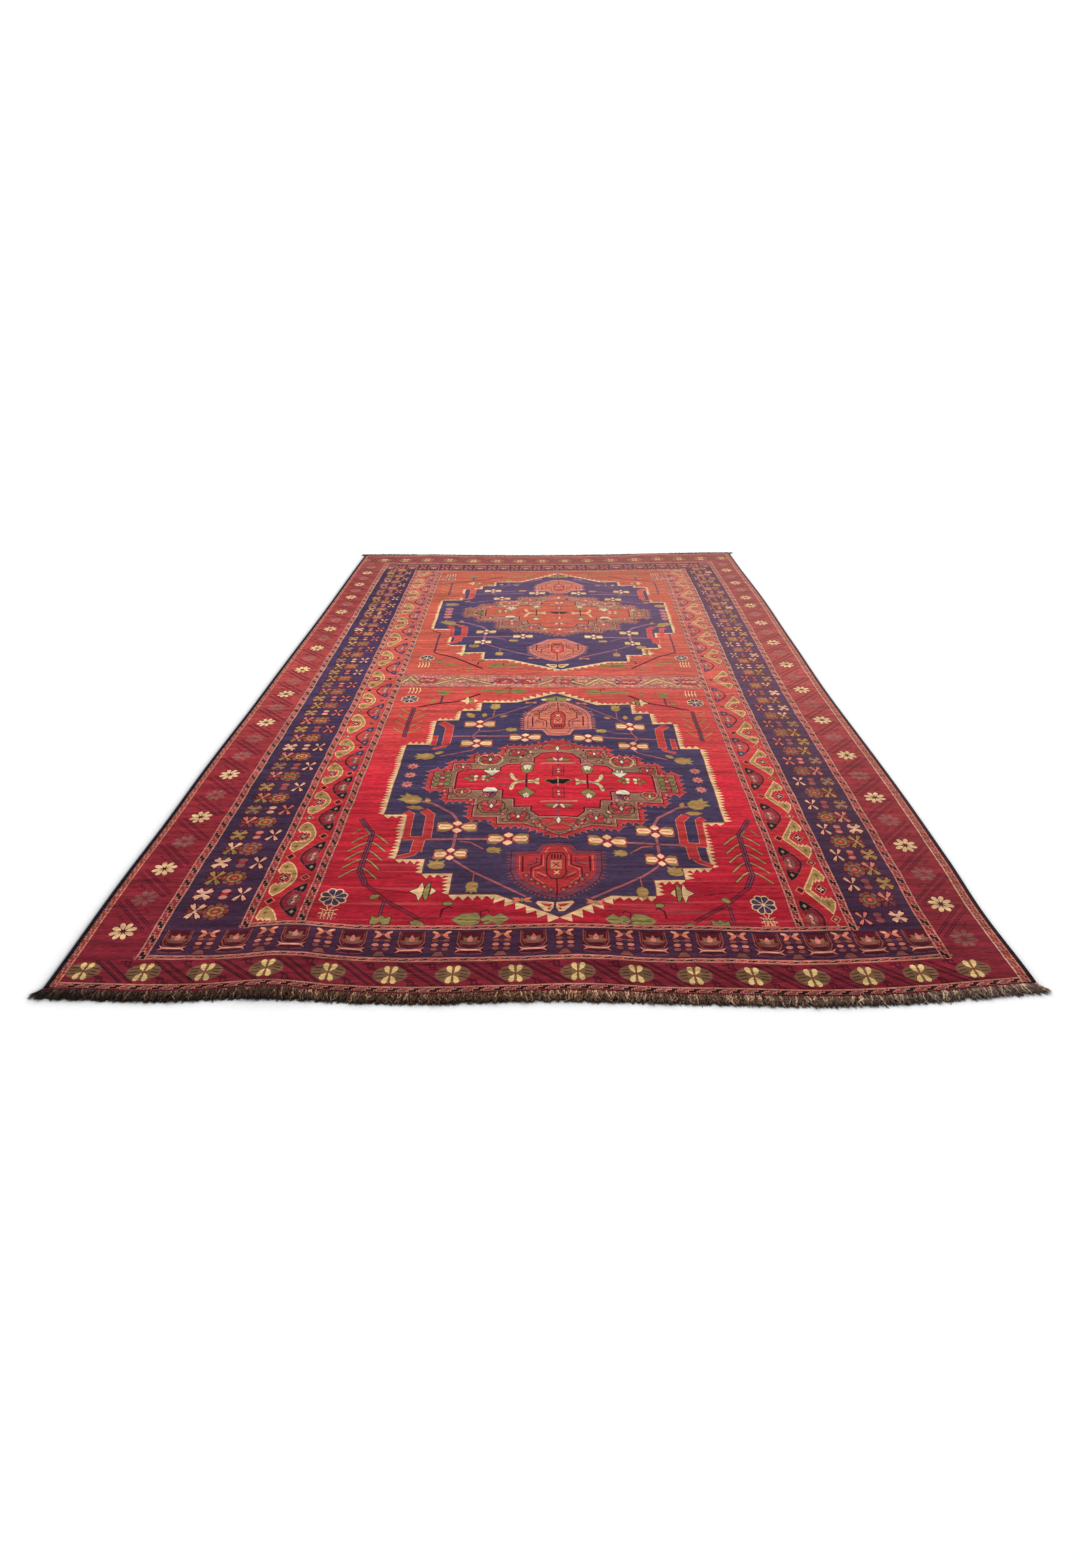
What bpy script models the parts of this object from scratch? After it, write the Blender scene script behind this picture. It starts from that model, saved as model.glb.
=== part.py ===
"""A flat-woven kilim laid out on a floor: one cloth, an overcast edging down each long side, and a
strip of warp ends with loose locks at each end. Metres, +Z up, the floor at z = 0, origin under the
middle of the rug. The length runs along Y, and the wavier end is at -Y."""

import math
import random

import bmesh
import bpy

# Driving dimensions
WIDTH = 2.00
LENGTH = 3.33
THICKNESS = 0.004
EDGING_WIDTH = 0.007
EDGING_HEIGHT = 0.0056
STRIP_DEPTH = 0.006
STRIP_HEIGHT = 0.0042
CLEARANCE = 0.0003
MIDDLE_Y = 0.009

# Fringe
LOCKS_PER_END = 140
LOCK_SHARE = 0.66
FRINGE_REACH_NEAR = 0.030
FRINGE_REACH_FAR = 0.026
LOCK_TIP_HEIGHT = 0.0016
LOCK_TIP_SHARE = 0.45
CORNER_FLARE = 0.020
CORNER_FLARE_RUN = 0.09
LOCK_SWAY = 0.003
SHORTEST_LOCK = 0.88
LONGEST_LOCK = 1.08
SHIFT_SHARE = 0.6
# A lock at its middle: how far out and aside it is, how far down it has come, and its width
HALFWAY = {"out": 0.50, "aside": 0.30, "drop": 0.75, "share": 0.95}

# Mesh steps
CLOTH_COLUMNS = 30
CLOTH_ROWS = 46

# How far each stretch of an end bows outwards, less than nothing where it bows inwards
NEAR_BOWS = (
    {"centre": -0.76, "half_width": 0.24, "bow": 0.009},
    {"centre": -0.22, "half_width": 0.44, "bow": 0.022},
    {"centre": 0.16, "half_width": 0.30, "bow": 0.012},
    {"centre": 0.57, "half_width": 0.60, "bow": 0.038},
)
FAR_BOWS = (
    {"centre": -0.30, "half_width": 0.70, "bow": -0.028},
    {"centre": 0.25, "half_width": 0.75, "bow": -0.032},
)
# How far each stretch of a long side bows outwards
LEFT_BOWS = (
    {"centre": -1.30, "half_length": 0.35, "bow": 0.005},
    {"centre": -0.75, "half_length": 0.50, "bow": 0.005},
    {"centre": 0.70, "half_length": 0.80, "bow": -0.004},
)
RIGHT_BOWS = (
    {"centre": -1.45, "half_length": 0.21, "bow": -0.006},
    {"centre": -0.95, "half_length": 0.45, "bow": 0.004},
    {"centre": -0.20, "half_length": 0.50, "bow": -0.006},
    {"centre": 0.85, "half_length": 0.60, "bow": 0.007},
)
# An end's bow dies out over this run into the cloth
BOW_RUN = 0.75
# The weft rows climb this much for each metre across, so the ends are not quite square
SLANT = 0.018

# Low waves that lift the cloth off the floor, as rows of centre, half sizes and height
WAVES = (
    {"x": -0.54, "y": -1.665, "half_x": 0.13, "half_y": 0.55, "height": 0.008},
    {"x": 0.10, "y": -1.665, "half_x": 0.15, "half_y": 0.40, "height": 0.004},
    {"x": 0.93, "y": -1.665, "half_x": 0.22, "half_y": 0.35, "height": 0.003},
    {"x": -0.72, "y": -0.40, "half_x": 0.20, "half_y": 0.16, "height": 0.003},
    {"x": 0.76, "y": 0.42, "half_x": 0.26, "half_y": 0.13, "height": 0.004},
    {"x": -0.60, "y": 1.665, "half_x": 0.18, "half_y": 0.40, "height": 0.005},
    {"x": 0.55, "y": 1.665, "half_x": 0.16, "half_y": 0.35, "height": 0.004},
)

WOOL_ROUGHNESS = 0.9

# Worked out from the sizes above
CLOTH_HALF_WIDTH = WIDTH / 2 - EDGING_WIDTH - CLEARANCE
CLOTH_HALF_LENGTH = LENGTH / 2 - STRIP_DEPTH - CLEARANCE

COLOURS = {
    "cloth": (0.32, 0.022, 0.035),
    "edging": (0.018, 0.016, 0.045),
    "fringe": (0.115, 0.072, 0.048),
}


def hump(offset, half_size):
    """A smooth rise from 0 to 1 and back over two half sizes, exactly 0 outside them."""
    t = abs(offset) / half_size
    return 0.5 + 0.5 * math.cos(math.pi * t) if t < 1 else 0.0


def end_bow(rows, x):
    return sum(row["bow"] * hump(x - row["centre"], row["half_width"]) for row in rows)


def side_bow(rows, y):
    return sum(row["bow"] * hump(y - row["centre"], row["half_length"]) for row in rows)


def lift(x, y):
    """How far the underside is off the floor at a plain place on the cloth."""
    return max(
        wave["height"] * hump(x - wave["x"], wave["half_x"]) * hump(y - wave["y"], wave["half_y"])
        for wave in WAVES
    )


def laid(x, y):
    """Moves a place on the square-cut rug to where it lies, with its bowed ends and sides."""
    near_share = hump(y + LENGTH / 2, BOW_RUN)
    far_share = hump(y - LENGTH / 2, BOW_RUN)
    across = x / (WIDTH / 2)
    side = side_bow(RIGHT_BOWS, y) if x > 0 else -side_bow(LEFT_BOWS, y)
    lengthwise = far_share * end_bow(FAR_BOWS, x) - near_share * end_bow(NEAR_BOWS, x) + SLANT * x
    return x + side * across * across, y + lengthwise + MIDDLE_Y, lift(x, y)


def steps(low, high, count):
    return [low + (high - low) * i / count for i in range(count + 1)]


def along_facets(x, y):
    """The laid place on the cloth's straight facets, which each piece that fits the cloth follows."""
    pitch = 2 * CLOTH_HALF_WIDTH / CLOTH_COLUMNS
    column = math.floor((x + CLOTH_HALF_WIDTH) / pitch)
    column = min(max(column, 0), CLOTH_COLUMNS - 1)
    left = column * pitch - CLOTH_HALF_WIDTH
    share = (x - left) / pitch
    pair = zip(laid(left, y), laid(left + pitch, y))
    return tuple(a + share * (b - a) for a, b in pair)


def material(name, colour):
    shader = bpy.data.materials.new(name)
    shader.use_nodes = True
    principled = shader.node_tree.nodes["Principled BSDF"]
    principled.inputs["Base Color"].default_value = (*colour, 1)
    principled.inputs["Roughness"].default_value = WOOL_ROUGHNESS
    principled.inputs["Metallic"].default_value = 0
    return shader


def object_from(name, mesh_data, shader):
    bmesh.ops.recalc_face_normals(mesh_data, faces=mesh_data.faces)
    mesh = bpy.data.meshes.new(name)
    mesh_data.to_mesh(mesh)
    mesh_data.free()
    mesh.materials.append(shader)
    piece = bpy.data.objects.new(name, mesh)
    bpy.context.scene.collection.objects.link(piece)
    return piece


def wall_between(mesh_data, rings):
    """Joins closed rings of the same length one after another, and closes the first and the last."""
    for ring, following in zip(rings, rings[1:]):
        for i in range(len(ring)):
            j = (i + 1) % len(ring)
            mesh_data.faces.new((ring[i], ring[j], following[j], following[i]))
    mesh_data.faces.new(rings[0])
    mesh_data.faces.new(rings[-1])


def cloth(shader):
    """The one woven sheet: a top and an underside on the same grid, joined round the edge."""
    columns = steps(-CLOTH_HALF_WIDTH, CLOTH_HALF_WIDTH, CLOTH_COLUMNS)
    rows = steps(-CLOTH_HALF_LENGTH, CLOTH_HALF_LENGTH, CLOTH_ROWS)
    mesh_data = bmesh.new()
    layers = []
    for height in (0, THICKNESS):
        layer = []
        for y in rows:
            places = [laid(x, y) for x in columns]
            layer.append([mesh_data.verts.new((px, py, pz + height)) for px, py, pz in places])
        layers.append(layer)
    under, top = layers
    for row in range(CLOTH_ROWS):
        for column in range(CLOTH_COLUMNS):
            for layer in (under, top):
                a, b = layer[row][column], layer[row][column + 1]
                c, d = layer[row + 1][column + 1], layer[row + 1][column]
                mesh_data.faces.new((a, b, c, d))
    for layer_row in (0, -1):
        for column in range(CLOTH_COLUMNS):
            low = under[layer_row][column : column + 2]
            high = top[layer_row][column : column + 2]
            mesh_data.faces.new((low[0], low[1], high[1], high[0]))
    for column in (0, -1):
        for row in range(CLOTH_ROWS):
            low = (under[row][column], under[row + 1][column])
            high = (top[row][column], top[row + 1][column])
            mesh_data.faces.new((low[0], low[1], high[1], high[0]))
    return object_from("kilim_cloth", mesh_data, shader)


def edging(name, side, shader):
    """Yarn overcast round one long side: a rounded bar, flat against the cloth and on the floor."""
    width, height = EDGING_WIDTH, EDGING_HEIGHT
    profile = (
        (0.00, 0.00),
        (0.75, 0.00),
        (1.00, 0.35),
        (0.90, 0.80),
        (0.55, 1.00),
        (0.00, 0.92),
    )
    mesh_data = bmesh.new()
    rings = []
    for y in steps(-CLOTH_HALF_LENGTH, CLOTH_HALF_LENGTH, CLOTH_ROWS):
        ring = []
        for out, up in profile:
            px, py, pz = along_facets(side * (WIDTH / 2 - width + out * width), y)
            ring.append(mesh_data.verts.new((px, py, pz + up * height)))
        rings.append(ring)
    wall_between(mesh_data, rings)
    return object_from(name, mesh_data, shader)


def lock_route(x, reach, draw):
    """Where one lock is halfway along and at its tip."""
    to_corner = WIDTH / 2 - abs(x)
    flare = math.copysign(CORNER_FLARE * max(0.0, 1 - to_corner / CORNER_FLARE_RUN) ** 2, x)
    sway = draw.uniform(-LOCK_SWAY, LOCK_SWAY) + flare
    length = reach * draw.uniform(SHORTEST_LOCK, LONGEST_LOCK)
    halfway = dict(HALFWAY, out=HALFWAY["out"] * length, aside=HALFWAY["aside"] * sway)
    tip = {"out": length, "aside": sway, "drop": 1.0, "share": LOCK_TIP_SHARE}
    return halfway, tip


def fringe(name, end, reach, shader, seed):
    """A narrow strip beyond the cloth's end, its outer wall drawn out into locks lying on the floor."""
    draw = random.Random(seed)
    inner = end * (LENGTH / 2 - STRIP_DEPTH)
    outer = end * LENGTH / 2
    pitch = WIDTH / LOCKS_PER_END
    half_lock = 0.5 * pitch * LOCK_SHARE
    half_gap = 0.5 * pitch - half_lock
    edges = [-WIDTH / 2]
    locks = {}
    for i in range(LOCKS_PER_END):
        middle = -WIDTH / 2 + (i + 0.5) * pitch
        shift = draw.uniform(-SHIFT_SHARE, SHIFT_SHARE) * half_gap
        locks[len(edges)] = middle + shift
        edges += [middle + shift - half_lock, middle + shift + half_lock]
    edges.append(WIDTH / 2)
    mesh_data = bmesh.new()
    rings = []
    for x in edges:
        near_x, near_y, near_z = along_facets(x, inner)
        far_x, far_y, far_z = along_facets(x, outer)
        places = (
            (near_x, near_y, near_z),
            (far_x, far_y, far_z),
            (far_x, far_y, far_z + STRIP_HEIGHT),
            (near_x, near_y, near_z + STRIP_HEIGHT),
        )
        rings.append([mesh_data.verts.new(place) for place in places])
    for index, (ring, following) in enumerate(zip(rings, rings[1:])):
        for i in range(4):
            j = (i + 1) % 4
            if i == 1 and index in locks:
                pull_lock(mesh_data, ring[1:3], following[1:3], locks[index], end, reach, draw)
            else:
                mesh_data.faces.new((ring[i], ring[j], following[j], following[i]))
    mesh_data.faces.new(rings[0])
    mesh_data.faces.new(rings[-1])
    return object_from(name, mesh_data, shader)


def pull_lock(mesh_data, left, right, middle, end, reach, draw):
    """Draws one opening of the strip's outer wall out into a lock with four sides and a closed tip."""
    root = [left[0], right[0], right[1], left[1]]
    half_width = 0.5 * (right[0].co.x - left[0].co.x)
    centre_x = 0.5 * (right[0].co.x + left[0].co.x)
    root_y = 0.5 * (right[0].co.y + left[0].co.y)
    root_z = 0.5 * (right[0].co.z + left[0].co.z)
    previous = root
    for part in lock_route(middle, reach, draw):
        x = centre_x + part["aside"]
        y = root_y + end * part["out"]
        low = root_z * (1 - part["drop"])
        high = low + STRIP_HEIGHT + (LOCK_TIP_HEIGHT - STRIP_HEIGHT) * part["drop"]
        half = half_width * part["share"]
        places = ((x - half, y, low), (x + half, y, low), (x + half, y, high), (x - half, y, high))
        ring = [mesh_data.verts.new(place) for place in places]
        for i in range(4):
            j = (i + 1) % 4
            mesh_data.faces.new((previous[i], previous[j], ring[j], ring[i]))
        previous = ring
    mesh_data.faces.new(previous)


def main():
    for leftover in list(bpy.data.objects):
        bpy.data.objects.remove(leftover)
    shaders = {name: material(name, colour) for name, colour in COLOURS.items()}
    cloth(shaders["cloth"])
    edging("selvedge_left", -1, shaders["edging"])
    edging("selvedge_right", 1, shaders["edging"])
    fringe("fringe_near", -1, FRINGE_REACH_NEAR, shaders["fringe"], seed=11)
    fringe("fringe_far", 1, FRINGE_REACH_FAR, shaders["fringe"], seed=12)


main()
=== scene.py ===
# The looks of a flat-woven kilim with two medallions, its pattern charted as patches of yarn
import math
import random

import bmesh
import bpy
import numpy as np
from mathutils import Matrix, Vector
from mathutils.geometry import delaunay_2d_cdt


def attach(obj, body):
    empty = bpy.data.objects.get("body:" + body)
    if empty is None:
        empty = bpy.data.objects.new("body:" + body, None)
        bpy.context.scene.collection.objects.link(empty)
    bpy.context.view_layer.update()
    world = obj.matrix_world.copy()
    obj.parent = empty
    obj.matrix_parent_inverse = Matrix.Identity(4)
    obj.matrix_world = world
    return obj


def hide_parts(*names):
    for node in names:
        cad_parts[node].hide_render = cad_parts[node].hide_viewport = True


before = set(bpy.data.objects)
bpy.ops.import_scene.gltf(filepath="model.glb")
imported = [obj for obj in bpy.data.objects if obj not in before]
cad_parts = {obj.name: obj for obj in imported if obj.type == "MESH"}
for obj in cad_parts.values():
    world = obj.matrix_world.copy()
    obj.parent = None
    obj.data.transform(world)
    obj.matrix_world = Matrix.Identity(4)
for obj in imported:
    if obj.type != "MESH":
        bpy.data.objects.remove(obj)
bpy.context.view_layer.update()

MM = 0.001

# The rug as cut, in metres, as in the solids
WIDTH = 2.00
LENGTH = 3.33
THICKNESS = 0.004
EDGING_WIDTH = 0.007
STRIP_DEPTH = 0.006
CLEARANCE = 0.0003
CLOTH_HALF_WIDTH = WIDTH / 2 - EDGING_WIDTH - CLEARANCE
CLOTH_HALF_LENGTH = LENGTH / 2 - STRIP_DEPTH - CLEARANCE
# The same two in millimetres, as the chart takes them
HALF_ACROSS = CLOTH_HALF_WIDTH / MM
HALF_ALONG = CLOTH_HALF_LENGTH / MM
MIDDLE_Y = 0.009
BOW_RUN = 0.75
SLANT = 0.018

# How far stretches of the edges bow outwards, as centre, half size and bow
NEAR_BOWS = ((-0.76, 0.24, 0.009), (-0.22, 0.44, 0.022), (0.16, 0.30, 0.012), (0.57, 0.60, 0.038))
FAR_BOWS = ((-0.30, 0.70, -0.028), (0.25, 0.75, -0.032))
LEFT_BOWS = ((-1.30, 0.35, 0.005), (-0.75, 0.50, 0.005), (0.70, 0.80, -0.004))
RIGHT_BOWS = ((-1.45, 0.21, -0.006), (-0.95, 0.45, 0.004), (-0.20, 0.50, -0.006), (0.85, 0.60, 0.007))
# Low waves off the floor, as centre, half sizes and height
WAVES = (
    (-0.54, -1.665, 0.13, 0.55, 0.008),
    (0.10, -1.665, 0.15, 0.40, 0.004),
    (0.93, -1.665, 0.22, 0.35, 0.003),
    (-0.72, -0.40, 0.20, 0.16, 0.003),
    (0.76, 0.42, 0.26, 0.13, 0.004),
    (-0.60, 1.665, 0.18, 0.40, 0.005),
    (0.55, 1.665, 0.16, 0.35, 0.004),
)

# Colours of the yarns as red, green and blue out of 255, from the near end to the far end; the change along
# the rug is partly dye and partly painted sheen that pales the far end
YARNS = {
    "crimson": ((134, 22, 38), (206, 40, 56), (206, 92, 78), (204, 97, 73), (188, 90, 70)),
    "border_red": ((115, 30, 43), (146, 40, 50), (182, 74, 72), (164, 66, 64), (152, 72, 68)),
    "vine_red": ((144, 30, 40), (198, 44, 52), (214, 94, 82), (206, 106, 90), (202, 114, 94)),
    "navy": ((66, 44, 64), (68, 57, 86), (72, 62, 98), (78, 64, 104), (72, 58, 94)),
    "border_navy": ((64, 35, 56), (61, 42, 67), (80, 60, 96), (66, 50, 84), (56, 30, 54)),
    "lilac": ((150, 80, 84), (164, 104, 114), (134, 114, 150)),
    "guard_red": ((122, 34, 40), (166, 68, 66), (198, 122, 108), (198, 120, 106), (180, 104, 92)),
    "guard_dark": ((30, 22, 22), (80, 54, 52), (116, 80, 70)),
    "ink": ((28, 20, 22), (34, 26, 32), (38, 30, 38)),
    "cream": ((202, 160, 120), (240, 204, 150), (236, 188, 142)),
    "peach": ((232, 176, 134), (255, 212, 162), (252, 204, 162)),
    "white": ((214, 200, 176), (232, 214, 188), (224, 190, 160)),
    "shell": ((202, 152, 126), (226, 180, 148), (226, 172, 148)),
    "straw": ((154, 114, 68), (182, 144, 88), (192, 146, 98)),
    "olive": ((126, 112, 66), (144, 128, 74), (152, 128, 78)),
    "guard_line": ((176, 110, 90), (214, 160, 130), (226, 172, 148)),
    "bark": ((110, 82, 56), (140, 112, 72), (150, 122, 78)),
    "petal": ((206, 174, 116), (232, 194, 140), (232, 184, 138)),
    "taupe": ((116, 88, 66), (158, 122, 98), (178, 130, 110)),
    "dim": ((116, 66, 62), (158, 98, 90), (172, 116, 104)),
    "wine": ((74, 18, 30), (92, 24, 40), (104, 40, 48)),
    "mauve": ((104, 52, 68), (132, 72, 88), (144, 92, 102)),
    "salmon": ((196, 108, 84), (214, 120, 98), (216, 124, 102)),
    "scarlet": ((158, 38, 42), (208, 72, 70), (208, 102, 84)),
    "rust": ((128, 60, 44), (150, 76, 50), (168, 88, 58)),
    "pink": ((186, 112, 98), (208, 126, 118), (208, 140, 126)),
}
YARN_NAMES = list(YARNS)

# Where the bands of the long sides start and end, in millimetres across
LEFT = {
    "guard_1": (-994, -973),
    "red": (-973, -852),
    "guard_2": (-852, -827),
    "navy": (-827, -665),
    "guard_3": (-665, -641),
    "vine": (-641, -544),
    "guard_4": (-544, -519),
}
RIGHT = {
    "guard_4": (562, 584),
    "vine": (584, 677),
    "guard_3": (677, 699),
    "navy": (699, 839),
    "guard_2": (839, 863),
    "red": (863, 968),
    "guard_1": (968, 990),
}
# Where the bands of the ends start and end, in millimetres along
NEAR = {
    "guard_1": (-1663, -1642),
    "red": (-1646, -1573),
    "guard_2": (-1573, -1558),
    "navy": (-1558, -1473),
    "guard_3": (-1473, -1457),
}
FAR = {
    "guard_3": (1348, 1367),
    "navy": (1367, 1481),
    "guard_2": (1481, 1499),
    "red": (1499, 1640),
    "guard_1": (1640, 1660),
}
FIELD = (LEFT["guard_4"][1], RIGHT["guard_4"][0], NEAR["guard_3"][1], FAR["guard_3"][0])
CROSS_BAND = (-165, -54)
CROSS_FALL = -0.037
NEAR_MIDDLE = (43, -840)
FAR_MIDDLE = (57, 655)


# Shapes in plain lists of points


def box(left, low, right, high):
    return [(left, low), (right, low), (right, high), (left, high)]


def diamond(half_width, half_height):
    return [(half_width, 0), (0, half_height), (-half_width, 0), (0, -half_height)]


def oval(half_width, half_height, sides=10):
    turns = [2 * math.pi * (i + 0.5) / sides for i in range(sides)]
    return [(half_width * math.cos(turn), half_height * math.sin(turn)) for turn in turns]


def mirrored(points):
    """The points, and then their mirror image across the long axis, back to the start."""
    return [*points, *((-x, y) for x, y in reversed(points) if x)]


def folded(points):
    """The points, and then their mirror image across the short axis, back to the start."""
    return [*points, *((x, -y) for x, y in reversed(points) if y)]


def beside(points, distance, closed):
    """The points moved to their left by a distance, each along its mitre."""
    points = np.asarray(points, float)
    moved = np.linalg.norm(points - np.roll(points, 1, axis=0), axis=1) > 0.01
    moved[0] |= not closed
    points = points[moved]
    if closed:
        before, after = np.roll(points, 1, axis=0), np.roll(points, -1, axis=0)
    else:
        before, after = np.vstack([points[:1], points[:-1]]), np.vstack([points[1:], points[-1:]])
    arrive, leave = points - before, after - points
    if not closed:
        arrive[0], leave[-1] = leave[0], arrive[-1]
    arrive = arrive / np.linalg.norm(arrive, axis=1)[:, None]
    leave = leave / np.linalg.norm(leave, axis=1)[:, None]
    mitre = np.stack([-(arrive + leave)[:, 1], (arrive + leave)[:, 0]], axis=1)
    share = np.maximum((mitre**2).sum(axis=1), 0.9)[:, None]
    return points + distance * 2 * mitre / share


def signed_area(points):
    x, y = np.asarray(points, float).T
    return (x @ np.roll(y, -1) - y @ np.roll(x, -1)) / 2


def grown(points, by):
    """A closed outline moved outwards."""
    return beside(points, -by if signed_area(points) > 0 else by, closed=True)


def ribbon(points, width):
    """The outline of a line of this width."""
    left = beside(points, width / 2, closed=False)
    right = beside(points, -width / 2, closed=False)
    return np.vstack([left, right[::-1]])


def staircase(tip, slope, upper, lower, low_slope, low_tip):
    """One side of a stepped medallion from its upper tip down to its lower one, x to the left."""
    points = [(0, tip), (-slope, upper[0][1])]
    for (half, high), (_, next_high) in zip(upper, upper[1:]):
        points += [(-half, high), (-half, next_high)]
    points.append((-upper[-1][0], upper[-1][1]))
    for (half, low), (next_half, _) in zip(lower, lower[1:]):
        points += [(-half, low), (-next_half, low)]
    last_half, last_low = lower[-1]
    return [*points, (-last_half, last_low), (-low_slope, last_low), (0, low_tip)]


def spaced(*charted):
    """The places of a repeat, counted off between a few charted ones."""
    counts, places = zip(*charted)
    return np.interp(range(counts[-1] + 1), counts, places)


# Outlines thinner than this are left out beyond this line, where they are too fine to show
FAR_RIM = 2.6
FAR_RIM_LINE = -300.0


class Pen:
    """Lays patches of yarn on the chart one over another, in millimetres from its own middle."""

    def __init__(self, patches, matrix=((1.0, 0.0), (0.0, 1.0)), middle=(0.0, 0.0)):
        self.patches = patches
        self.matrix = np.array(matrix, float)
        self.middle = np.array(middle, float)

    def at(self, x, y, turn=0.0, wide=1.0, tall=1.0, climb=0.0):
        """A pen with its middle at x, y, stretched, sheared by climb and turned by degrees."""
        cos, sin = math.cos(math.radians(turn)), math.sin(math.radians(turn))
        stretch = np.array([[wide, climb], [0.0, tall]])
        spin = np.array([[cos, sin], [-sin, cos]])
        place = self.middle + np.array([x, y]) @ self.matrix
        return Pen(self.patches, stretch @ spin @ self.matrix, place)

    def patch(self, yarn, points):
        placed = np.asarray(points, float) @ self.matrix + self.middle
        self.patches.append((YARN_NAMES.index(yarn), placed))

    def too_fine(self, points, rim_width):
        middle = np.mean(points, axis=0) @ self.matrix + self.middle
        return rim_width <= FAR_RIM and middle[1] >= FAR_RIM_LINE

    def rimmed(self, rim, yarn, points, by):
        """A patch with a thin outline of another yarn."""
        if not self.too_fine(points, by):
            self.patch(rim, grown(points, by))
        self.patch(yarn, points)

    def line(self, yarn, points, width):
        self.patch(yarn, ribbon(points, width))

    def lined(self, rim, yarn, points, width, by):
        """A line with a thin outline of another yarn."""
        if not self.too_fine(points, by):
            self.line(rim, points, width + 2 * by)
        self.line(yarn, points, width)

    def both(self):
        """This pen and its mirror image."""
        return self, self.at(0, 0, wide=-1)

    def turned(self, *turns):
        """This pen turned by each of these degrees."""
        return [self.at(0, 0, turn=turn) for turn in turns]

    def ring(self, count, first=0.0):
        """This pen turned into evenly spread directions."""
        return self.turned(*(first + 360 * i / count for i in range(count)))


# Guard stripes


GUARD_EDGE = 1
GUARD_LINE = 2.4
GUARD_ROW_INSET = 5
HOOK_STEM = 2.8
HOOK_BAR = 0.6
HOOK_RIM = 1.6
SECOND_HOOK = 0.28
SIDE_GUARD = (50, 0.24)
END_GUARD = (43, 0.29)


def guard(pen, run, half, size, yarns, draw):
    """A guard stripe along the pen's x: two lines, and Z hooks of two yarns in turn between them."""
    ground, line_low, line_high, hook, other = yarns
    period, first_hook = size
    row = half - GUARD_ROW_INSET
    rim = half - GUARD_EDGE
    pen.patch("ink", box(0, -half, run, half))
    pen.patch(ground, box(0, -rim, run, rim))
    pen.patch(line_low, box(0, -rim, run, -rim + GUARD_LINE))
    pen.patch(line_high, box(0, rim - GUARD_LINE, run, rim))
    count = max(1, round(run / period))
    pitch = run / count
    for i in range(count):
        start = (i + draw.uniform(-0.03, 0.03)) * pitch
        for yarn, shift, reach in ((hook, 0.25, first_hook), (other, 0.75, SECOND_HOOK)):
            reach *= pitch
            upper = [(-reach, -row), (HOOK_STEM, -row), (HOOK_STEM, -HOOK_BAR), (reach, -HOOK_BAR)]
            z_hook = upper + [(-x, -y) for x, y in upper]
            pen.at(start + shift * pitch, 0).rimmed("pink", yarn, z_hook, HOOK_RIM)


def guards(pen, draw):
    bright = ("guard_red", "guard_line", "pink", "guard_dark", "guard_red")
    muted = ("guard_red", "salmon", "shell", "dim", "rust")
    near_edge = ("guard_red", "guard_line", "guard_line", "guard_dark", "dim")
    names = ("guard_1", "guard_2", "guard_3")
    reach = {name: (NEAR[name][0], FAR[name][1]) for name in names}
    reach["guard_4"] = (NEAR["guard_3"][1], FAR["guard_3"][0])
    for name, (low, high) in reach.items():
        yarns = muted if name == "guard_1" else bright
        for ends in (NEAR, FAR):
            if name in ends:
                first, last = ends[name]
                left, right = LEFT[name][0], RIGHT[name][1]
                stripe = pen.at(left, (first + last) / 2)
                end_yarns = near_edge if ends is NEAR and name == "guard_1" else yarns
                guard(stripe, right - left, (last - first) / 2, END_GUARD, end_yarns, draw)
        for side in (LEFT, RIGHT):
            first, last = side[name]
            stripe = pen.at((first + last) / 2, low, turn=90)
            guard(stripe, high - low, (last - first) / 2, SIDE_GUARD, yarns, draw)


# Red border


def rosette(pen, yarn, rim):
    """Eight petals in a ring, 56 mm across."""
    pen.patch(rim, oval(25, 26, 16))
    for spoke in pen.ring(8, 22.5):
        spoke.patch(yarn, folded([(5, 0), (14, -5.6), (23, -6), (28.5, -2.5)]))
    pen.patch(rim, oval(3.5, 3.5, 8))


def zigzag(pen, yarn, steps, rise, run, width):
    """A small stair of lines, as the hooks beside the diagonals."""
    points = [(0, 0)]
    for _ in range(steps):
        x, y = points[-1]
        points += [(x + run, y), (x + run, y - rise)]
    pen.line(yarn, points, width)


def side_red(pen, middle, half, places, bright):
    """Rosettes up a long side, bright or dim, with thin double diagonals between them."""
    for i, y in enumerate(places):
        rosette(pen.at(middle, y), *(("cream", "wine") if bright(i) else ("dim", "border_red")))
        if i == len(places) - 1:
            break
        gap = pen.at(middle, (y + places[i + 1]) / 2)
        corner = half - 2
        for aside in (-7.5, -4, 4, 7.5):
            gap.line("wine", [(-corner - aside, -corner + aside), (corner - aside, corner + aside)], 2.6)
        for x, y, turn in ((-34, 8, 0), (34, -8, 180)):
            zigzag(gap.at(x, y, turn=turn), "wine", 2, -9, 9, 2.4)


def end_flower(pen):
    """Two petals up and two down on a leafy oval, 68 by 56 mm."""
    pen.patch("dim", oval(37, 25, 14))
    pen.patch("bark", oval(34.5, 22.5, 14))
    for x, turn in ((-22, 12), (22, -12)):
        for y in (-9, 0, 9):
            pen.at(x, y, turn=turn).patch("wine", box(-8, -1.2, 8, 1.2))
    petal = [(1.5, 2), (3, 12), (3, 22), (7, 27), (13, 26), (16, 20), (12, 10)]
    for flip in (0.94, -0.94):
        for half in pen.at(0, 0, wide=0.94, tall=flip).both():
            half.rimmed("rust", "petal", petal, 1)
    pen.patch("rust", diamond(3, 6))


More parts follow.
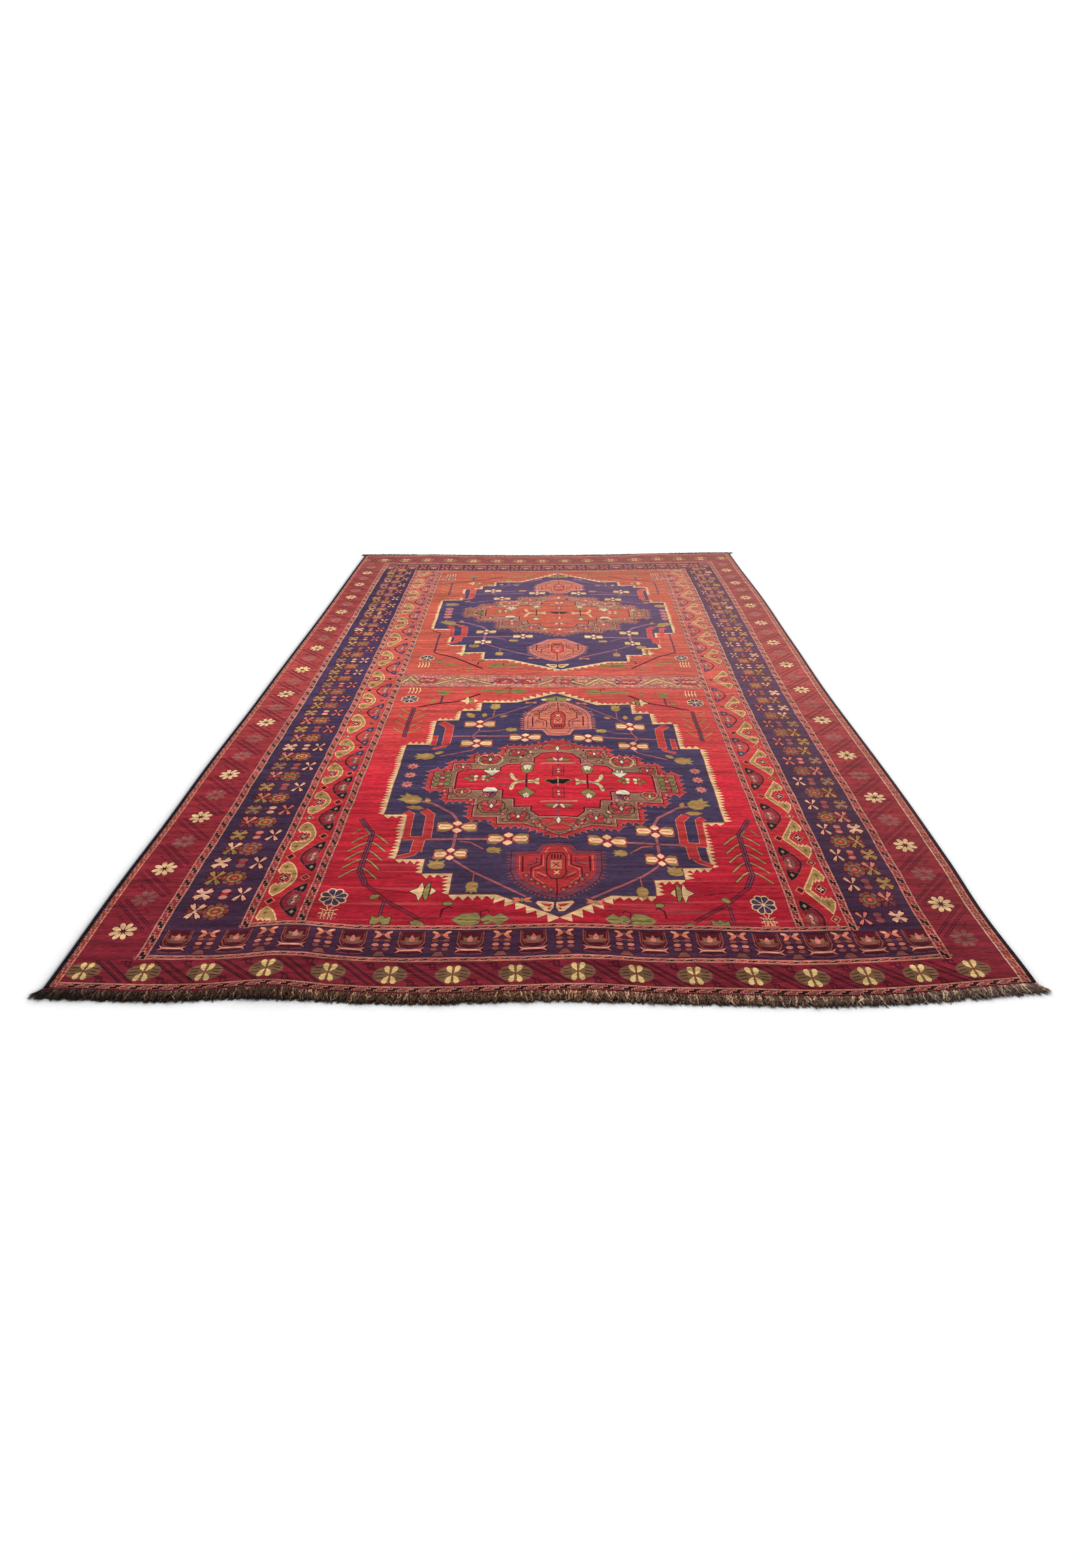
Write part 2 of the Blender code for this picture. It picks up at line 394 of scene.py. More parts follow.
def end_red(pen, low, high, places):
    """Flowers along an end, with dark double diagonals falling to the right between them."""
    middle = (low + high) / 2
    drop = (high - low) / 2 - 4
    for i, x in enumerate(places):
        if i < len(places) - 1:
            gap = pen.at((x + places[i + 1]) / 2, middle)
            for shift, yarn in ((-13, "ink"), (-7, "wine"), (7, "wine"), (13, "ink")):
                gap.line(yarn, [(-40 + shift, drop), (40 + shift, -drop)], 2.6)
            for x_at, y_at, turn in ((2, 30, 0), (-2, -30, 180)):
                key = gap.at(x_at, y_at, turn=turn)
                zigzag(key, "wine", 2, 9, 12, 4)
                key.line("wine", [(8, 2), (22, 2), (22, -6)], 4)
            gap.at(-24, -8).line("wine", [(-8, 10), (-8, -8), (8, -8)], 4)
            gap.at(24, 8).line("wine", [(8, -10), (8, 8), (-8, 8)], 4)
        end_flower(pen.at(x, middle))


def band_grounds(pen, band, yarn):
    """The plain ground of a band round all four sides."""
    for side in (LEFT, RIGHT):
        pen.patch(yarn, box(side[band][0], NEAR[band][0], side[band][1], FAR[band][1]))
    for end in (NEAR, FAR):
        pen.patch(yarn, box(LEFT[band][0], end[band][0], RIGHT[band][1], end[band][1]))


def red_borders(pen):
    band_grounds(pen, "red", "border_red")
    left = spaced((0, -1485), (10, -320), (20, 812), (26, 1425))
    right = spaced((0, -1519), (5, -942), (11, -200), (22, 1104), (25, 1440))
    side_red(pen.at(0, 0, wide=-1), 914, 50, left, lambda i: i in (0, 2, 4, 6) or (i > 8 and i % 2 == 1))
    side_red(pen, 915, 49, right, lambda i: i % 2 == 1 if i < 20 else i % 2 == 0)
    end_red(pen, *NEAR["red"], spaced((0, -941), (3, -563), (8, 79), (12, 555), (15, 890)))
    end_red(pen, FAR["red"][0] - 8, FAR["red"][1] - 8, spaced((0, -985), (16, 933)))


# Navy border


def cross_petals(pen, yarn, rim, reach, fat, turns):
    """Petals from the middle outwards in these directions, each with a thick rim."""
    petal = np.array(folded([(0.1, 0), (0.4, -0.6), (0.8, -1), (1.05, -0.7), (0.9, 0)])) * (reach, fat)
    for petal_yarn, by in ((rim, 3.6), (yarn, 0)):
        for spoke in pen.turned(*turns):
            spoke.patch(petal_yarn, grown(petal, by))


def round_tulip(pen, yarn):
    """A round flower in rings of petals with a red heart, 58 mm across, pointing along x."""
    pen.patch("wine", oval(29, 28, 12))
    for i, spoke in enumerate(pen.ring(8)):
        spoke.patch("dim" if i % 2 else "rust", folded([(15, -5), (24, -8), (27, -3)]))
    pen.rimmed("wine", yarn, oval(18, 16.5, 10), 1.6)
    for spoke in pen.ring(6):
        spoke.line("rust", [(10, 0), (17, 0)], 2)
    pen.rimmed("wine", "scarlet", oval(9.5, 8.5, 8), 1.6)
    pen.patch("straw", oval(5, 3.4, 6))


def tulip_row(pen, yarn, other, flower):
    pen.patch("mauve", oval(22, 24, 8))
    cross_petals(pen, "rust", "wine", 17, 5, (0, 180))
    cross_petals(pen, yarn, "wine", 27, 6, (57, 123))
    cross_petals(pen, other, "wine", 27, 6, (237, 303))
    pen.patch(yarn, diamond(5, 7))
    round_tulip(pen.at(46, 0, wide=1.06), flower)


def triple_row(pen, first, second, third):
    pen.patch("mauve", oval(22, 21, 8))
    cross_petals(pen, first, "wine", 22, 7.5, (42, 138, 222, 318))
    pen.patch(first, box(-5, -9, 5, 9))
    pair = pen.at(50, 0)
    pair.patch("wine", oval(15, 21, 8))
    for y in (-10, 10):
        pair.at(0, y).rimmed("mauve", second, oval(10, 6, 8), 2)
    pair.patch("scarlet", box(-9, -1.6, 9, 1.6))
    cross_petals(pen.at(90, 0), third, "wine", 24, 4.5, (56, 124, 236, 304))
    pen.at(90, 0).patch("mauve", oval(4, 4, 6))


def side_navy(pen, places, triple_at, draw):
    """Rows of flowers up a long side, from the outer edge inwards."""
    for y, following in zip(places, [*places[1:], 2 * places[-1] - places[-2]]):
        light = draw.choice(("salmon", "straw", "pink", "shell"))
        row = pen.at(47, y, tall=1.06)
        tulip_row(row, light, *map(draw.choice, (("olive", "mauve", light), ("olive", "straw", "taupe"))))
        choices = (("shell", "straw", "taupe"), ("shell", "pink", "dim"), ("salmon", "shell"))
        triple_row(pen.at(triple_at, (y + following) / 2, tall=1.14), *map(draw.choice, choices))


def cup(pen):
    """A flower in a cup over a forked bar, 60 mm wide."""
    pen.patch("wine", mirrored([(-31, 38), (-31, -34)]))
    for half in pen.both():
        half.line("dim", [(27, 38), (28, 2), (20, -14), (4, -18)], 3)
        half.line("rust", [(23, 34), (23, 6), (16, -8)], 1.6)
        half.line("mauve", [(2, -36), (28, -33)], 3.4)
    petal = mirrored([(-4, 0), (-7, 11), (0, 23)])
    for turn, yarn in ((-78, "dim"), (78, "dim"), (-40, "taupe"), (40, "taupe"), (0, "pink")):
        pen.at(0, 2, turn=turn).rimmed("rust", yarn, petal, 1.4)
    pen.patch("dim", oval(12, 5, 8))
    bar = pen.at(0, -21)
    ends = folded([(-31, 9), (-19, 3), (19, 3), (31, 9), (24, 0)])
    bar.rimmed("ink", "pink", [*ends, (-24, 0)], 1.4)
    bar.patch("shell", box(-19, -1.2, 19, 1.2))


def column(pen):
    """A small winged figure over pairs of dim ovals."""
    wing = [(2, 0), (9, 10), (19, 13), (21, 8), (13, 2), (16, -7), (20, -11), (14, -13), (5, -5)]
    for half in pen.at(0, 27).both():
        half.rimmed("wine", "salmon", wing, 2.5)
        half.patch("shell", [(7, 5), (11, 9), (17, 11), (18, 8), (12, 4)])
    pen.at(0, 29).patch("rust", diamond(4, 6))
    for half in pen.both():
        for y, yarn in ((9, "dim"), (-5, "pink"), (-18, "dim")):
            half.at(12, y).rimmed("wine", yarn, oval(8, 5, 8), 2.4)
    pen.line("mauve", [(-4, 9), (4, 9)], 3)
    pen.at(0, -34).rimmed("wine", "dim", [(-6, 7), (6, 7), (14, -6), (-14, -6)], 2)


def end_navy(pen, low, high, places):
    """Cups along an end with columns between them."""
    tall = (high - low) / 86
    middle = (low + high) / 2
    for i, x in enumerate(places):
        cup(pen.at(x, middle, tall=tall))
        if i < len(places) - 1:
            column(pen.at((x + places[i + 1]) / 2, middle, tall=tall))


def far_navy(pen, low, high, places):
    """Boxed flowers in turn with crossed pairs along the far end."""
    middle = (low + high) / 2
    for i, x in enumerate(places):
        cup(pen.at(x, middle, tall=-1.3))
        if i < len(places) - 1:
            pair = pen.at((x + places[i + 1]) / 2, middle)
            for y in (25, -24):
                cross_petals(pair.at(0, y), "salmon", "wine", 20, 5, (30, 150, 210, 330))
            pair.rimmed("wine", "dim", oval(12, 9, 6), 2)


def navy_borders(pen, draw):
    band_grounds(pen, "navy", "border_navy")
    left = spaced((0, -1413), (9, -308), (15, 408), (22, 1158), (24, 1370))
    right = spaced((0, -1375), (3, -1038), (11, -35), (21, 1127), (23, 1355))
    side_navy(pen.at(LEFT["navy"][0], 0), left, 42, draw)
    side_navy(pen.at(RIGHT["navy"][1] - 1, 0, wide=-0.88), right, 31, draw)
    triple_row(pen.at(RIGHT["navy"][1] - 38, -1435, wide=-0.88), "shell", "dim", "pink")
    end_navy(pen, *NEAR["navy"], spaced((0, -787), (5, -152), (7, 120), (10, 487), (13, 817)))
    far_navy(pen, *FAR["navy"], spaced((0, -805), (14, 815)))


# Vine borders


def small_diamond(pen, rim, heart):
    pen.patch(rim, diamond(13, 15))
    pen.patch("wine", diamond(9.5, 11.5))
    pen.patch(heart, diamond(5, 6))


def hook(pen, tall, rounded):
    """A bent leaf with combed ends round a small flower, its point inwards, 135 mm tall."""
    pen = pen.at(0, 0, tall=tall)
    if rounded:
        outline = [(15, 67), (28, 55), (38, 38), (47, 17), (49, 0)]
        comb = [(40, 0), (38, 14), (31, 25), (28, 20), (24, 28)]
        comb += [(19, 21), (14, 29), (8, 23), (2, 32), (5, 56)]
    else:
        outline = [(15, 71), (26, 52), (42, 29), (58, 6), (59, 0)]
        comb = [(49, 0), (36, 21), (31, 34), (27, 27), (22, 35)]
        comb += [(17, 28), (12, 36), (7, 30), (1, 40), (6, 58)]
    points = folded(outline) + folded(comb[::-1])[::-1]
    pen.rimmed("salmon", "cream", grown(points, 2.6), 1.2)
    pen.patch("straw", points)
    for y in (46, -46):
        pen.at(16, y).rimmed("olive", "rust", diamond(4, 6), 3)
    flower = pen.at(21, 0)
    flower.rimmed("pink", "wine", diamond(13, 15), 1.6)
    for spoke in flower.ring(4, 20):
        spoke.patch("shell", [(1, -1.8), (6, -2.6), (8, 0), (6, 2.2), (2, 1.6)])


def crescent(pen, ground):
    """A thin dark arc between two dark leaves, round a small flower, open inwards, 124 mm tall."""
    pen.rimmed("dim", "wine", folded([(86, 63), (72, 52), (56, 34), (46, 16), (43, 0)]), 1.4)
    pen.patch(ground, folded([(84, 54), (72, 45), (60, 30), (51, 14), (48, 0)]))
    end_leaf = [(87, 65), (74, 56), (64, 43), (62, 36), (70, 38)]
    end_leaf += [(74, 31), (80, 34), (88, 27), (91, 40), (90, 54)]
    for flip in (1, -1):
        end = pen.at(0, 0, tall=flip)
        end.rimmed("mauve", "ink" if ground == "border_red" else "navy", end_leaf, 1.6)
        end.at(80, 45).rimmed("olive", "pink", diamond(3, 4), 2)
    flower = pen.at(74, 0)
    flower.patch("dim", oval(14, 23, 8))
    for y, turn in ((10, 60), (0, -50), (-10, 60)):
        petal = [(-6, -2), (2, -4), (7, 0), (2, 3.4), (-5, 2)]
        flower.at(0, y, turn=turn).rimmed("border_red", "shell" if y else "pink", petal, 1.6)


def vine(pen, places, rounded, draw):
    """Hooks and crescents in turn up a vine border, from its outer edge inwards."""
    below = 2 * places[0] - places[1]
    for y, following in zip([below, *places], [*places, 2 * places[-1] - places[-2]]):
        pitch = following - y
        middle = (y + following) / 2
        crescent(pen.at(0, y), "border_red" if y < -800 else "vine_red")
        hook(pen.at(4, middle), min(pitch / 180, 1.15), rounded)
        small_diamond(pen.at(19, y), "salmon", draw.choice(("pink", "shell", "ink")))
        small_diamond(pen.at(76, middle), "salmon", draw.choice(("wine", "scarlet")))


def vine_borders(pen, draw):
    low, high = NEAR["guard_3"][1], FAR["guard_3"][0]
    for side in (LEFT, RIGHT):
        pen.patch("vine_red", box(side["vine"][0], low, side["vine"][1], high))
    left = spaced((0, -1382), (2, -1027), (5, -542), (7, -180), (10, 442), (14, 1230))
    right = spaced((0, -1436), (3, -831), (5, -438), (6, -240), (7, 31), (9, 415), (13, 1195))
    vine(pen.at(LEFT["vine"][0], 0), left, True, draw)
    vine(pen.at(RIGHT["vine"][1], 0, wide=-0.96), right, False, draw)


# Medallions


SHORTEST_TOOTHED = 4


def along_line(pen, start, end):
    """A pen at a line's start, turned along it, and the line's length."""
    across, up = end[0] - start[0], end[1] - start[1]
    return pen.at(*start, turn=math.degrees(math.atan2(up, across))), math.hypot(across, up)


def toothed(pen, start, end, pitch, height, band, lean=0.0):
    """Cream teeth on the outer side of a line that runs with its outside on the right."""
    place, length = along_line(pen, start, end)
    if length < SHORTEST_TOOTHED:
        return
    count = max(1, round(length / pitch))
    step = length / count
    row = [(0, 2), (0, -band)]
    for i in range(count):
        uneven = 1 + 0.13 * math.sin(7 * i + start[0])
        row += [((i + 0.5) * step + lean, -height * uneven), ((i + 1) * step, -band)]
    place.patch("cream", [*row, (length, 2)])


def medallion_ground(pen, sides, tooth):
    """The dark stepped body with its toothed light rim. sides are its left and right stairs."""
    left = sides[0]
    right = [(-x, y) for x, y in reversed(sides[1])]
    for run, lean in ((left, 1), (right, -1)):
        for start, end in zip(run, run[1:]):
            if start[0] != end[0] and start[1] != end[1]:
                toothed(pen, start, end, 28, tooth + 2, 6)
            elif start[0] == end[0]:
                toothed(pen, start, end, 14, tooth - 6, 7, 2 * lean)
            else:
                toothed(pen, start, end, 20, tooth - 7, 6, 2.5 * lean)
    pen.rimmed("rust", "navy", left + right[1:-1], 2.2)


def cross_flower(pen, wide, tall=1.0):
    """Four petals in a cross with winged leaves at the sides, 104 by 58 mm."""
    pen = pen.at(0, 0, wide=wide, tall=tall)
    for half in pen.both():
        half.rimmed("scarlet", "olive", folded([(12, 10), (30, 22), (50, 20), (52, 8), (46, 0)]), 2)
        half.rimmed("scarlet", "peach", folded([(10, 0), (20, 11), (46, 12), (51, 0)]), 1.6)
        half.line("salmon", [(18, 0), (46, 0)], 3.4)
    for flip in (1, -1):
        petal = mirrored([(0, 5), (11, 14), (11, 20), (0, 28)])
        pen.at(0, 0, tall=flip).rimmed("scarlet", "peach", petal, 1.8)
    pen.patch("scarlet", oval(7, 7, 8))


def star(pen):
    for spoke in pen.ring(8):
        spoke.patch("pink", folded([(0, -4), (9, -5), (17, 0)]))
    pen.patch("scarlet", oval(4, 4, 6))


def bud(pen, size):
    """A pointed bud along x with two side leaves."""
    outline = folded([(-20, 0), (-14, 12), (2, 17), (12, 12), (26, 15), (20, 4), (32, 0)])
    pen.at(0, 0, wide=size, tall=size).rimmed("olive", "straw", outline, 2)


def leaf(pen, yarn="straw", rim="rust", size=1.0):
    pen = pen.at(0, 0, wide=size, tall=size)
    pen.rimmed(rim, yarn, folded([(-16, 0), (-6, 9), (8, 8), (18, 0)]), 1.8)


def stalk(pen, points, width=8.5):
    pen.lined("wine", "lilac", points, width, 1.2)


def fork(pen, upper):
    """Red bars with a cream outline that fork beside the body's step."""
    if upper:
        bars = (
            (24, [(-380, 395), (-349, 362), (-349, 235)]),
            (10, [(-349, 235), (-352, 222), (-386, 206)]),
            (14, [(-388, 300), (-388, 228)]),
        )
    else:
        bars = (
            (17, [(-414, -158), (-397, -172), (-393, -284)]),
            (21, [(-366, -150), (-343, -178), (-341, -284)]),
            (13, [(-402, -284), (-332, -284)]),
            (27, [(-358, -280), (-360, -345)]),
            (13, [(-360, -338), (-366, -352), (-402, -368)]),
        )
    for width, points in bars:
        pen.line("salmon", points, width + 4)
    for width, points in bars:
        pen.line("scarlet", points, width)


def body_motifs(pen, flower_wide, fork_at, fork_wide, places):
    """What grows on one half of the dark body, drawn for the left."""
    stalk(pen, [(-345, -290), (-150, -290)])
    stalk(pen, [(-268, -205), (-285, -170), (-345, -118), (-378, -105)])
    stalk(pen, [(-268, -260), (-268, -330)])
    stalk(pen, [(-255, -300), (-225, -305), (-190, -335)], 5)
    stalk(pen, [(-262, -378), (-213, -425), (-78, -522)], 6.5)
    stalk(pen, [(-207, -430), (-207, -462)], 4)
    fork(pen.at(fork_at, 0, wide=fork_wide), upper=False)
    cross_flower(pen.at(-267, -234), flower_wide)
    cross_flower(pen.at(-131, -289), flower_wide)
    cross_flower(pen.at(-271, -354), 0.8 * flower_wide, 0.9)
    bud(pen.at(-207, -482, turn=-90), size=0.85)
    bud(pen.at(-167, -338, turn=-5), size=0.75)
    bud(pen.at(-300, -400, turn=90, wide=0.8, tall=1.3), size=0.9)
    bud(pen.at(*places["buds"][0], turn=150), size=1.3)
    leaf(pen.at(-362, -100, turn=110), size=0.8)
    leaf(pen.at(-389, -138, turn=172, wide=1.7), size=0.9)
    small_flower(pen.at(-87, -534))

    stalk(pen, [(-345, 292), (-140, 292)])
    stalk(pen, [(-253, 345), (-253, 328), (-272, 292), (-253, 262)], 6)
    stalk(pen, [(-253, 212), (-262, 196), (-355, 158)], 5.5)
    stalk(pen, [(-250, 325), (-200, 328), (-170, 338)], 5)
    stalk(pen, [(-240, 404), (-208, 436), (-88, 528)], 5.5)
    stalk(pen, [(-213, 430), (-211, 490)], 4.5)
    fork(pen.at(fork_at, 0, wide=fork_wide), upper=True)
    for place in places["flowers"]:
        cross_flower(pen.at(*place), 0.95 * flower_wide)
    bud(pen.at(-211, 512, turn=90), size=0.95)
    bud(pen.at(-153, 338), size=0.75)
    leaf(pen.at(-288, 446, turn=125), size=1.3)
    leaf(pen.at(-242, 446, turn=90), size=0.9)
    leaf(pen.at(-178, 438, turn=20), size=0.8)
    bud(pen.at(*places["buds"][1], turn=180), size=1.15)
    leaf(pen.at(-362, 180, turn=30), size=0.9)
    small_flower(pen.at(-90, 545))
    for place in places["stars"]:
        star(pen.at(*place, wide=1.1, tall=1.1))


def small_flower(pen):
    for half in pen.both():
        half.rimmed("rust", "salmon", folded([(2, 0), (10, 8), (22, 8), (16, 0)]), 1.5)
    pen.patch("olive", diamond(5, 8))


def fan(pen, size=1.0):
    """Two red rounds over a dark-lined cup, opening upwards, 56 by 48 mm."""
    pen = pen.at(0, 0, wide=size, tall=size)
    pen.rimmed("wine", "dim", [*mirrored([(-26, 2), (-22, 20), (-8, 26)]), (10, -20), (-10, -20)], 2)
    for half in pen.both():
        half.line("pink", [(2, -18), (19, -2), (23, 14), (12, 23)], 3)
        half.rimmed("wine", "scarlet", oval(7, 8, 8) + np.array([10, 8]), 1.6)
        half.patch("olive", [(3, -4), (14, -2), (8, -14), (3, -16)])
    pen.rimmed("ink", "cream", mirrored([(0, -12), (4, 0), (0, 14)]), 1.4)


def curled_palmette(pen, size, arch="wine"):
    """Dark curls round four red petals, with a light drop in the middle, 74 by 66 mm."""
    pen = pen.at(0, 0, wide=size, tall=size)
    pen.patch("dim", [*mirrored([(-24, -16), (-30, 6), (-22, 22), (0, 26)]), (0, -28)])
    for half in pen.both():
        half.line(arch, [(2, -30), (22, -26), (35, -8), (34, 12), (24, 27), (10, 29), (12, 18)], 3)
        half.rimmed("wine", "scarlet", [(3, 2), (16, 22), (26, 18), (27, 4), (14, -3)], 1.8)
        half.rimmed("wine", "scarlet", [(3, -7), (22, -9), (16, -21), (3, -22)], 1.8)
        half.line("pink", [(10, 6), (20, 15)], 2.4)
        half.line("olive", [(27, -14), (29, 0)], 3.4)
    pen.rimmed("ink", "white", mirrored([(0, -8), (5.5, 2), (0, 14)]), 1.8)


def side_palmette(pen):
    """A stack of red rounds between curls, as at the taupe band's two ends, 52 by 84 mm."""
    for half in pen.both():
        for y in (24, -2, -28):
            half.at(15, y).patch("ink", oval(12, 13, 8))
            half.at(15, y).patch("olive", oval(9.5, 10.5, 8))
            half.at(14, y).patch("taupe", oval(5, 6, 6))
    for y, yarn in ((32, "scarlet"), (12, "pink"), (-8, "scarlet"), (-28, "pink"), (-42, "scarlet")):
        pen.at(0, y).rimmed("wine", yarn, oval(8, 8, 6), 1.8)


def dome_flower(pen):
    """A light dome over a dark striped cup, 42 by 50 mm."""
    pen.rimmed("wine", "white", mirrored([(-20, 0), (-20, 12), (-10, 24)]), 2)
    pen.rimmed("wine", "mauve", [(-18, 0), (18, 0), (14, -22), (0, -30), (-14, -22)], 2)
    for x, y in ((-7, -6), (7, -6), (0, -17)):
        pen.at(x, y).patch("ink", oval(4, 4.5, 6))


def lantern(pen):
    """An olive diamond with a white heart, 44 by 66 mm."""
    pen.rimmed("wine", "olive", mirrored([(0, 34), (10, 22), (24, 8), (16, -4), (10, -16), (0, -8)]), 2)
    pen.rimmed("wine", "white", mirrored([(0, 6), (10, -6), (4, -22), (0, -14)]), 1.2)


BERRIES = (
    (-322, -48), (-243, -100), (-246, 122), (-150, -172), (-150, 192), (-92, -150), (-90, 150), (-66, -212),
)


def tree_of_flowers(pen):
    """What grows in one half of the inner field, drawn for the left."""
    pen.line("wine", [(-91, 60), (-91, -45)], 5)
    outer_horn = [(4, -7), (22, -2), (33, 10), (38, 34), (46, 42), (50, 30), (44, 6), (28, -12), (4, -15)]
    inner_horn = [(4, -8), (18, -6), (30, 8), (38, 10), (36, -4), (22, -17), (4, -17)]
    for flip in (1, -1):
        pen.at(-91, 3 + 9 * flip, wide=-1, tall=flip).rimmed("wine", "cream", outer_horn, 1.4)
        pen.at(-91, 3 + 9 * flip, tall=flip).rimmed("wine", "cream", inner_horn, 1.4)
    for half in pen.at(-91, 3).both():
        half.line("taupe", [(4, 0), (36, 0)], 5)
    dome_flower(pen.at(-193, -56))
    lantern(pen.at(-91, -66))
    pen.at(-91, 92).rimmed("wine", "pink", oval(21, 15, 10) + np.array([0, 14]), 2)
    bulb = mirrored([(0, 32), (14, 26), (19, 8), (14, -14), (0, -26)])
    pen.at(-91, 76).rimmed("wine", "olive", bulb, 2)
    pen.at(-91, 84).rimmed("wine", "white", mirrored([(0, 16), (13, 10), (6, -16), (0, -4)]), 1.2)
    lily = mirrored([(0, -30), (25, 2), (14, 4), (9, 20), (0, 8)])
    pen.at(-193, 66).rimmed("ink", "white", lily, 2)
    for x in (-12, 0, 12):
        pen.at(-193 + x, 84, turn=x).rimmed("ink", "olive", box(-2.5, -14, 2.5, 6), 1.4)
    for x, flip in ((-250, 1), (-203, -1)):
        sprig = pen.at(x, 22)
        for spoke in sprig.ring(4):
            spoke.rimmed("wine", "olive", folded([(3, 0), (12, 7), (24, 0)]), 1.6)
        sprig.at(12 * flip, 9).rimmed("wine", "white", oval(7, 8, 6), 1.2)
        sprig.at(12 * flip, -9).patch("cream", oval(5, 6, 6))
    for y in (22, -22):
        pen.at(-150, y, turn=-20).line("dim", [(-18, 0), (18, 0)], 6)
    for x, y in BERRIES:
        pen.at(x, y).rimmed("wine", "pink", diamond(6, 8), 1.8)
    side_palmette(pen.at(-334, 16, tall=0.92))
    fan(pen.at(-272, -60))
    curled_palmette(pen.at(-183, -134), 1.08)
    curled_palmette(pen.at(-108, -187), 0.86)
    fan(pen.at(-205, -78, turn=20), 0.5)
    fan(pen.at(-50, -228, turn=-30), 0.62)
    curled_palmette(pen.at(-120, 178), 0.82)
    curled_palmette(pen.at(-204, 134), 1.06, "cream")
    curled_palmette(pen.at(-281, 86), 0.74)
    fan(pen.at(-160, 168, turn=20), 0.45)
    fan(pen.at(-68, 206, turn=30), 0.6)


def spine(pen):
    """What stands on the inner field's own middle line."""
    for flip in (1, -1):
        half = pen.at(0, 0, tall=flip)
        top = half.at(0, 222, tall=-1)
        head = mirrored([(-52, 18), (-30, -22), (0, -34)]) + mirrored([(28, 26), (0, 20)])
        top.rimmed("wine", "scarlet", head, 2.5)
        for side in top.both():
            side.line("taupe", [(3, 20), (12, 2), (34, -10), (42, 4)], 7)
            side.at(14, 10).rimmed("wine", "scarlet", oval(6, 5, 6), 1.2)
        half.at(0, 205).rimmed("ink", "white", mirrored([(0, 18), (6, 0), (0, -16)]), 2)
        half.line("mauve", [(0, 190), (0, 20)], 3)
        for side in half.both():
            side.rimmed("wine", "olive", [(2, 128), (22, 140), (42, 132), (26, 122)], 1.5)
            side.rimmed("wine", "white", [(1, 128), (9, 142), (16, 146), (15, 132), (8, 124)], 1.2)
        half.patch("pink", box(-52, 106, 52, 113))
        half.rimmed("ink", "crimson", box(-15, 36, 15, 90), 2)
        half.patch("mauve", box(-11, 40, -7, 86))
        half.patch("mauve", box(7, 40, 11, 86))
        for y in (56, 70):
            half.at(0, y).rimmed("wine", "cream", diamond(5, 6), 1.2)
    middle = mirrored([(-38, 4), (-28, 14), (-14, 12), (0, 17)])
    pen.rimmed("olive", "ink", middle + mirrored([(26, -2), (16, -14), (0, -10)]), 2)
    pen.line("cream", [(0, 26), (0, -24)], 1.6)


RIM_WIDTH = 10
BAND_CURLS = (
    (-318, -62, 200), (-232, -118, 150), (-150, -150, 200), (-140, -196, 170), (-66, -190, 160),
    (-24, -244, 120), (-322, 62, 20), (-240, 158, 20), (-166, 206, -20), (-130, 124, 30),
    (-84, 160, 10), (-32, 226, 40), (-262, 50, 60),
)


def specks_between(pen, count, draw):
    """Small flowers strewn over the outer part of a diamond 360 by 250 mm in half size."""
    while count:
        across, up = draw.uniform(-1, 1), draw.uniform(-1, 1)
        if 0.52 < abs(across) + abs(up) < 1:
            yarn = draw.choice(("pink", "mauve", "shell", "cream", "olive", "wine", "border_red"))
            rim = "wine" if yarn in ("pink", "shell", "cream") else "pink"
            pen.at(360 * across, 262 * up).rimmed(rim, yarn, diamond(6, draw.uniform(6, 13)), 1.6)
            count -= 1


def inner_medallion(pen, rim_yarn, specks, draw):
    """The light medallion inside the dark body: a toothed rim, a band and a lobed field."""
    band = staircase(
        250, 84,
        ((158, 209), (250, 156), (311, 112), (361, 64)),
        ((361, -33), (308, -94), (231, -185), (164, -219)),
        92, -275,
    )
    rim = beside(band, -RIM_WIDTH, closed=False)
    halves = (pen, pen.at(0, 0, wide=-0.93, climb=0.10))
    for half in halves:
        teeth(half, rim, rim_yarn)
        half.patch(rim_yarn, [*rim, (0, 0)])
    for half in halves:
        half.rimmed("wine", "pink", band + [(0, 0)], 3)
    for half in halves:
        half.patch("taupe", beside(band, 2.6, closed=False).tolist() + [(0, 0)])
        half.line("rust", beside(band, 9, closed=False), 2.2)
        for x, y, turn in BAND_CURLS:
            curl = half.at(x, y, turn=turn)
            curl.line("wine", [(-13, -3), (-12, 9), (-3, 15), (8, 12), (11, 3), (5, -1)], 2.6)
            curl.patch("pink", oval(3.5, 3.5, 6) + np.array([1, 6]))
    specks_between(pen, specks, draw)
    lobes = (
        [(0, 178), (-44, 172), (-70, 142), (-70, 0), (0, 0)],
        [(0, -182), (-52, -182), (-72, -156), (-72, 0), (0, 0)],
        [(0, 104), (-150, 104), (-168, 84), (-168, 0), (0, 0)],
        [(0, -132), (-118, -132), (-122, -90), (-155, -88), (-155, 0), (0, 0)],
        [(0, 60), (-270, 72), (-291, 56), (-291, -38), (-230, -42), (0, -42)],
    )
    for yarn, by in (("pink", 7.5), ("wine", 4.8), ("crimson", 0)):
        for half in halves:
            for lobe in lobes:
                half.patch(yarn, grown(lobe, by))
    for half in halves:
        tree_of_flowers(half)
    spine(pen)


TOOTH_PITCH = 22


def teeth(pen, rim, yarn):
    """Flame teeth along the stepped rim, on the outside of the run from top to bottom."""
    for start, end in zip(rim, rim[1:]):
        place, length = along_line(pen, start, end)
        count = max(1, round(length / TOOTH_PITCH))
        half = 0.5 * length / count
        flame = [(-0.4 * half, -7), (-3, -16), (0.3 * half, -5)]
        tooth = [(-half, 4), (-half, 0), *flame, (half, 0), (half, 4)]
        for i in range(count):
            place.at((2 * i + 1) * half, 0).rimmed("pink", yarn, tooth, 1.2)


PENDANT_PITCH = 12


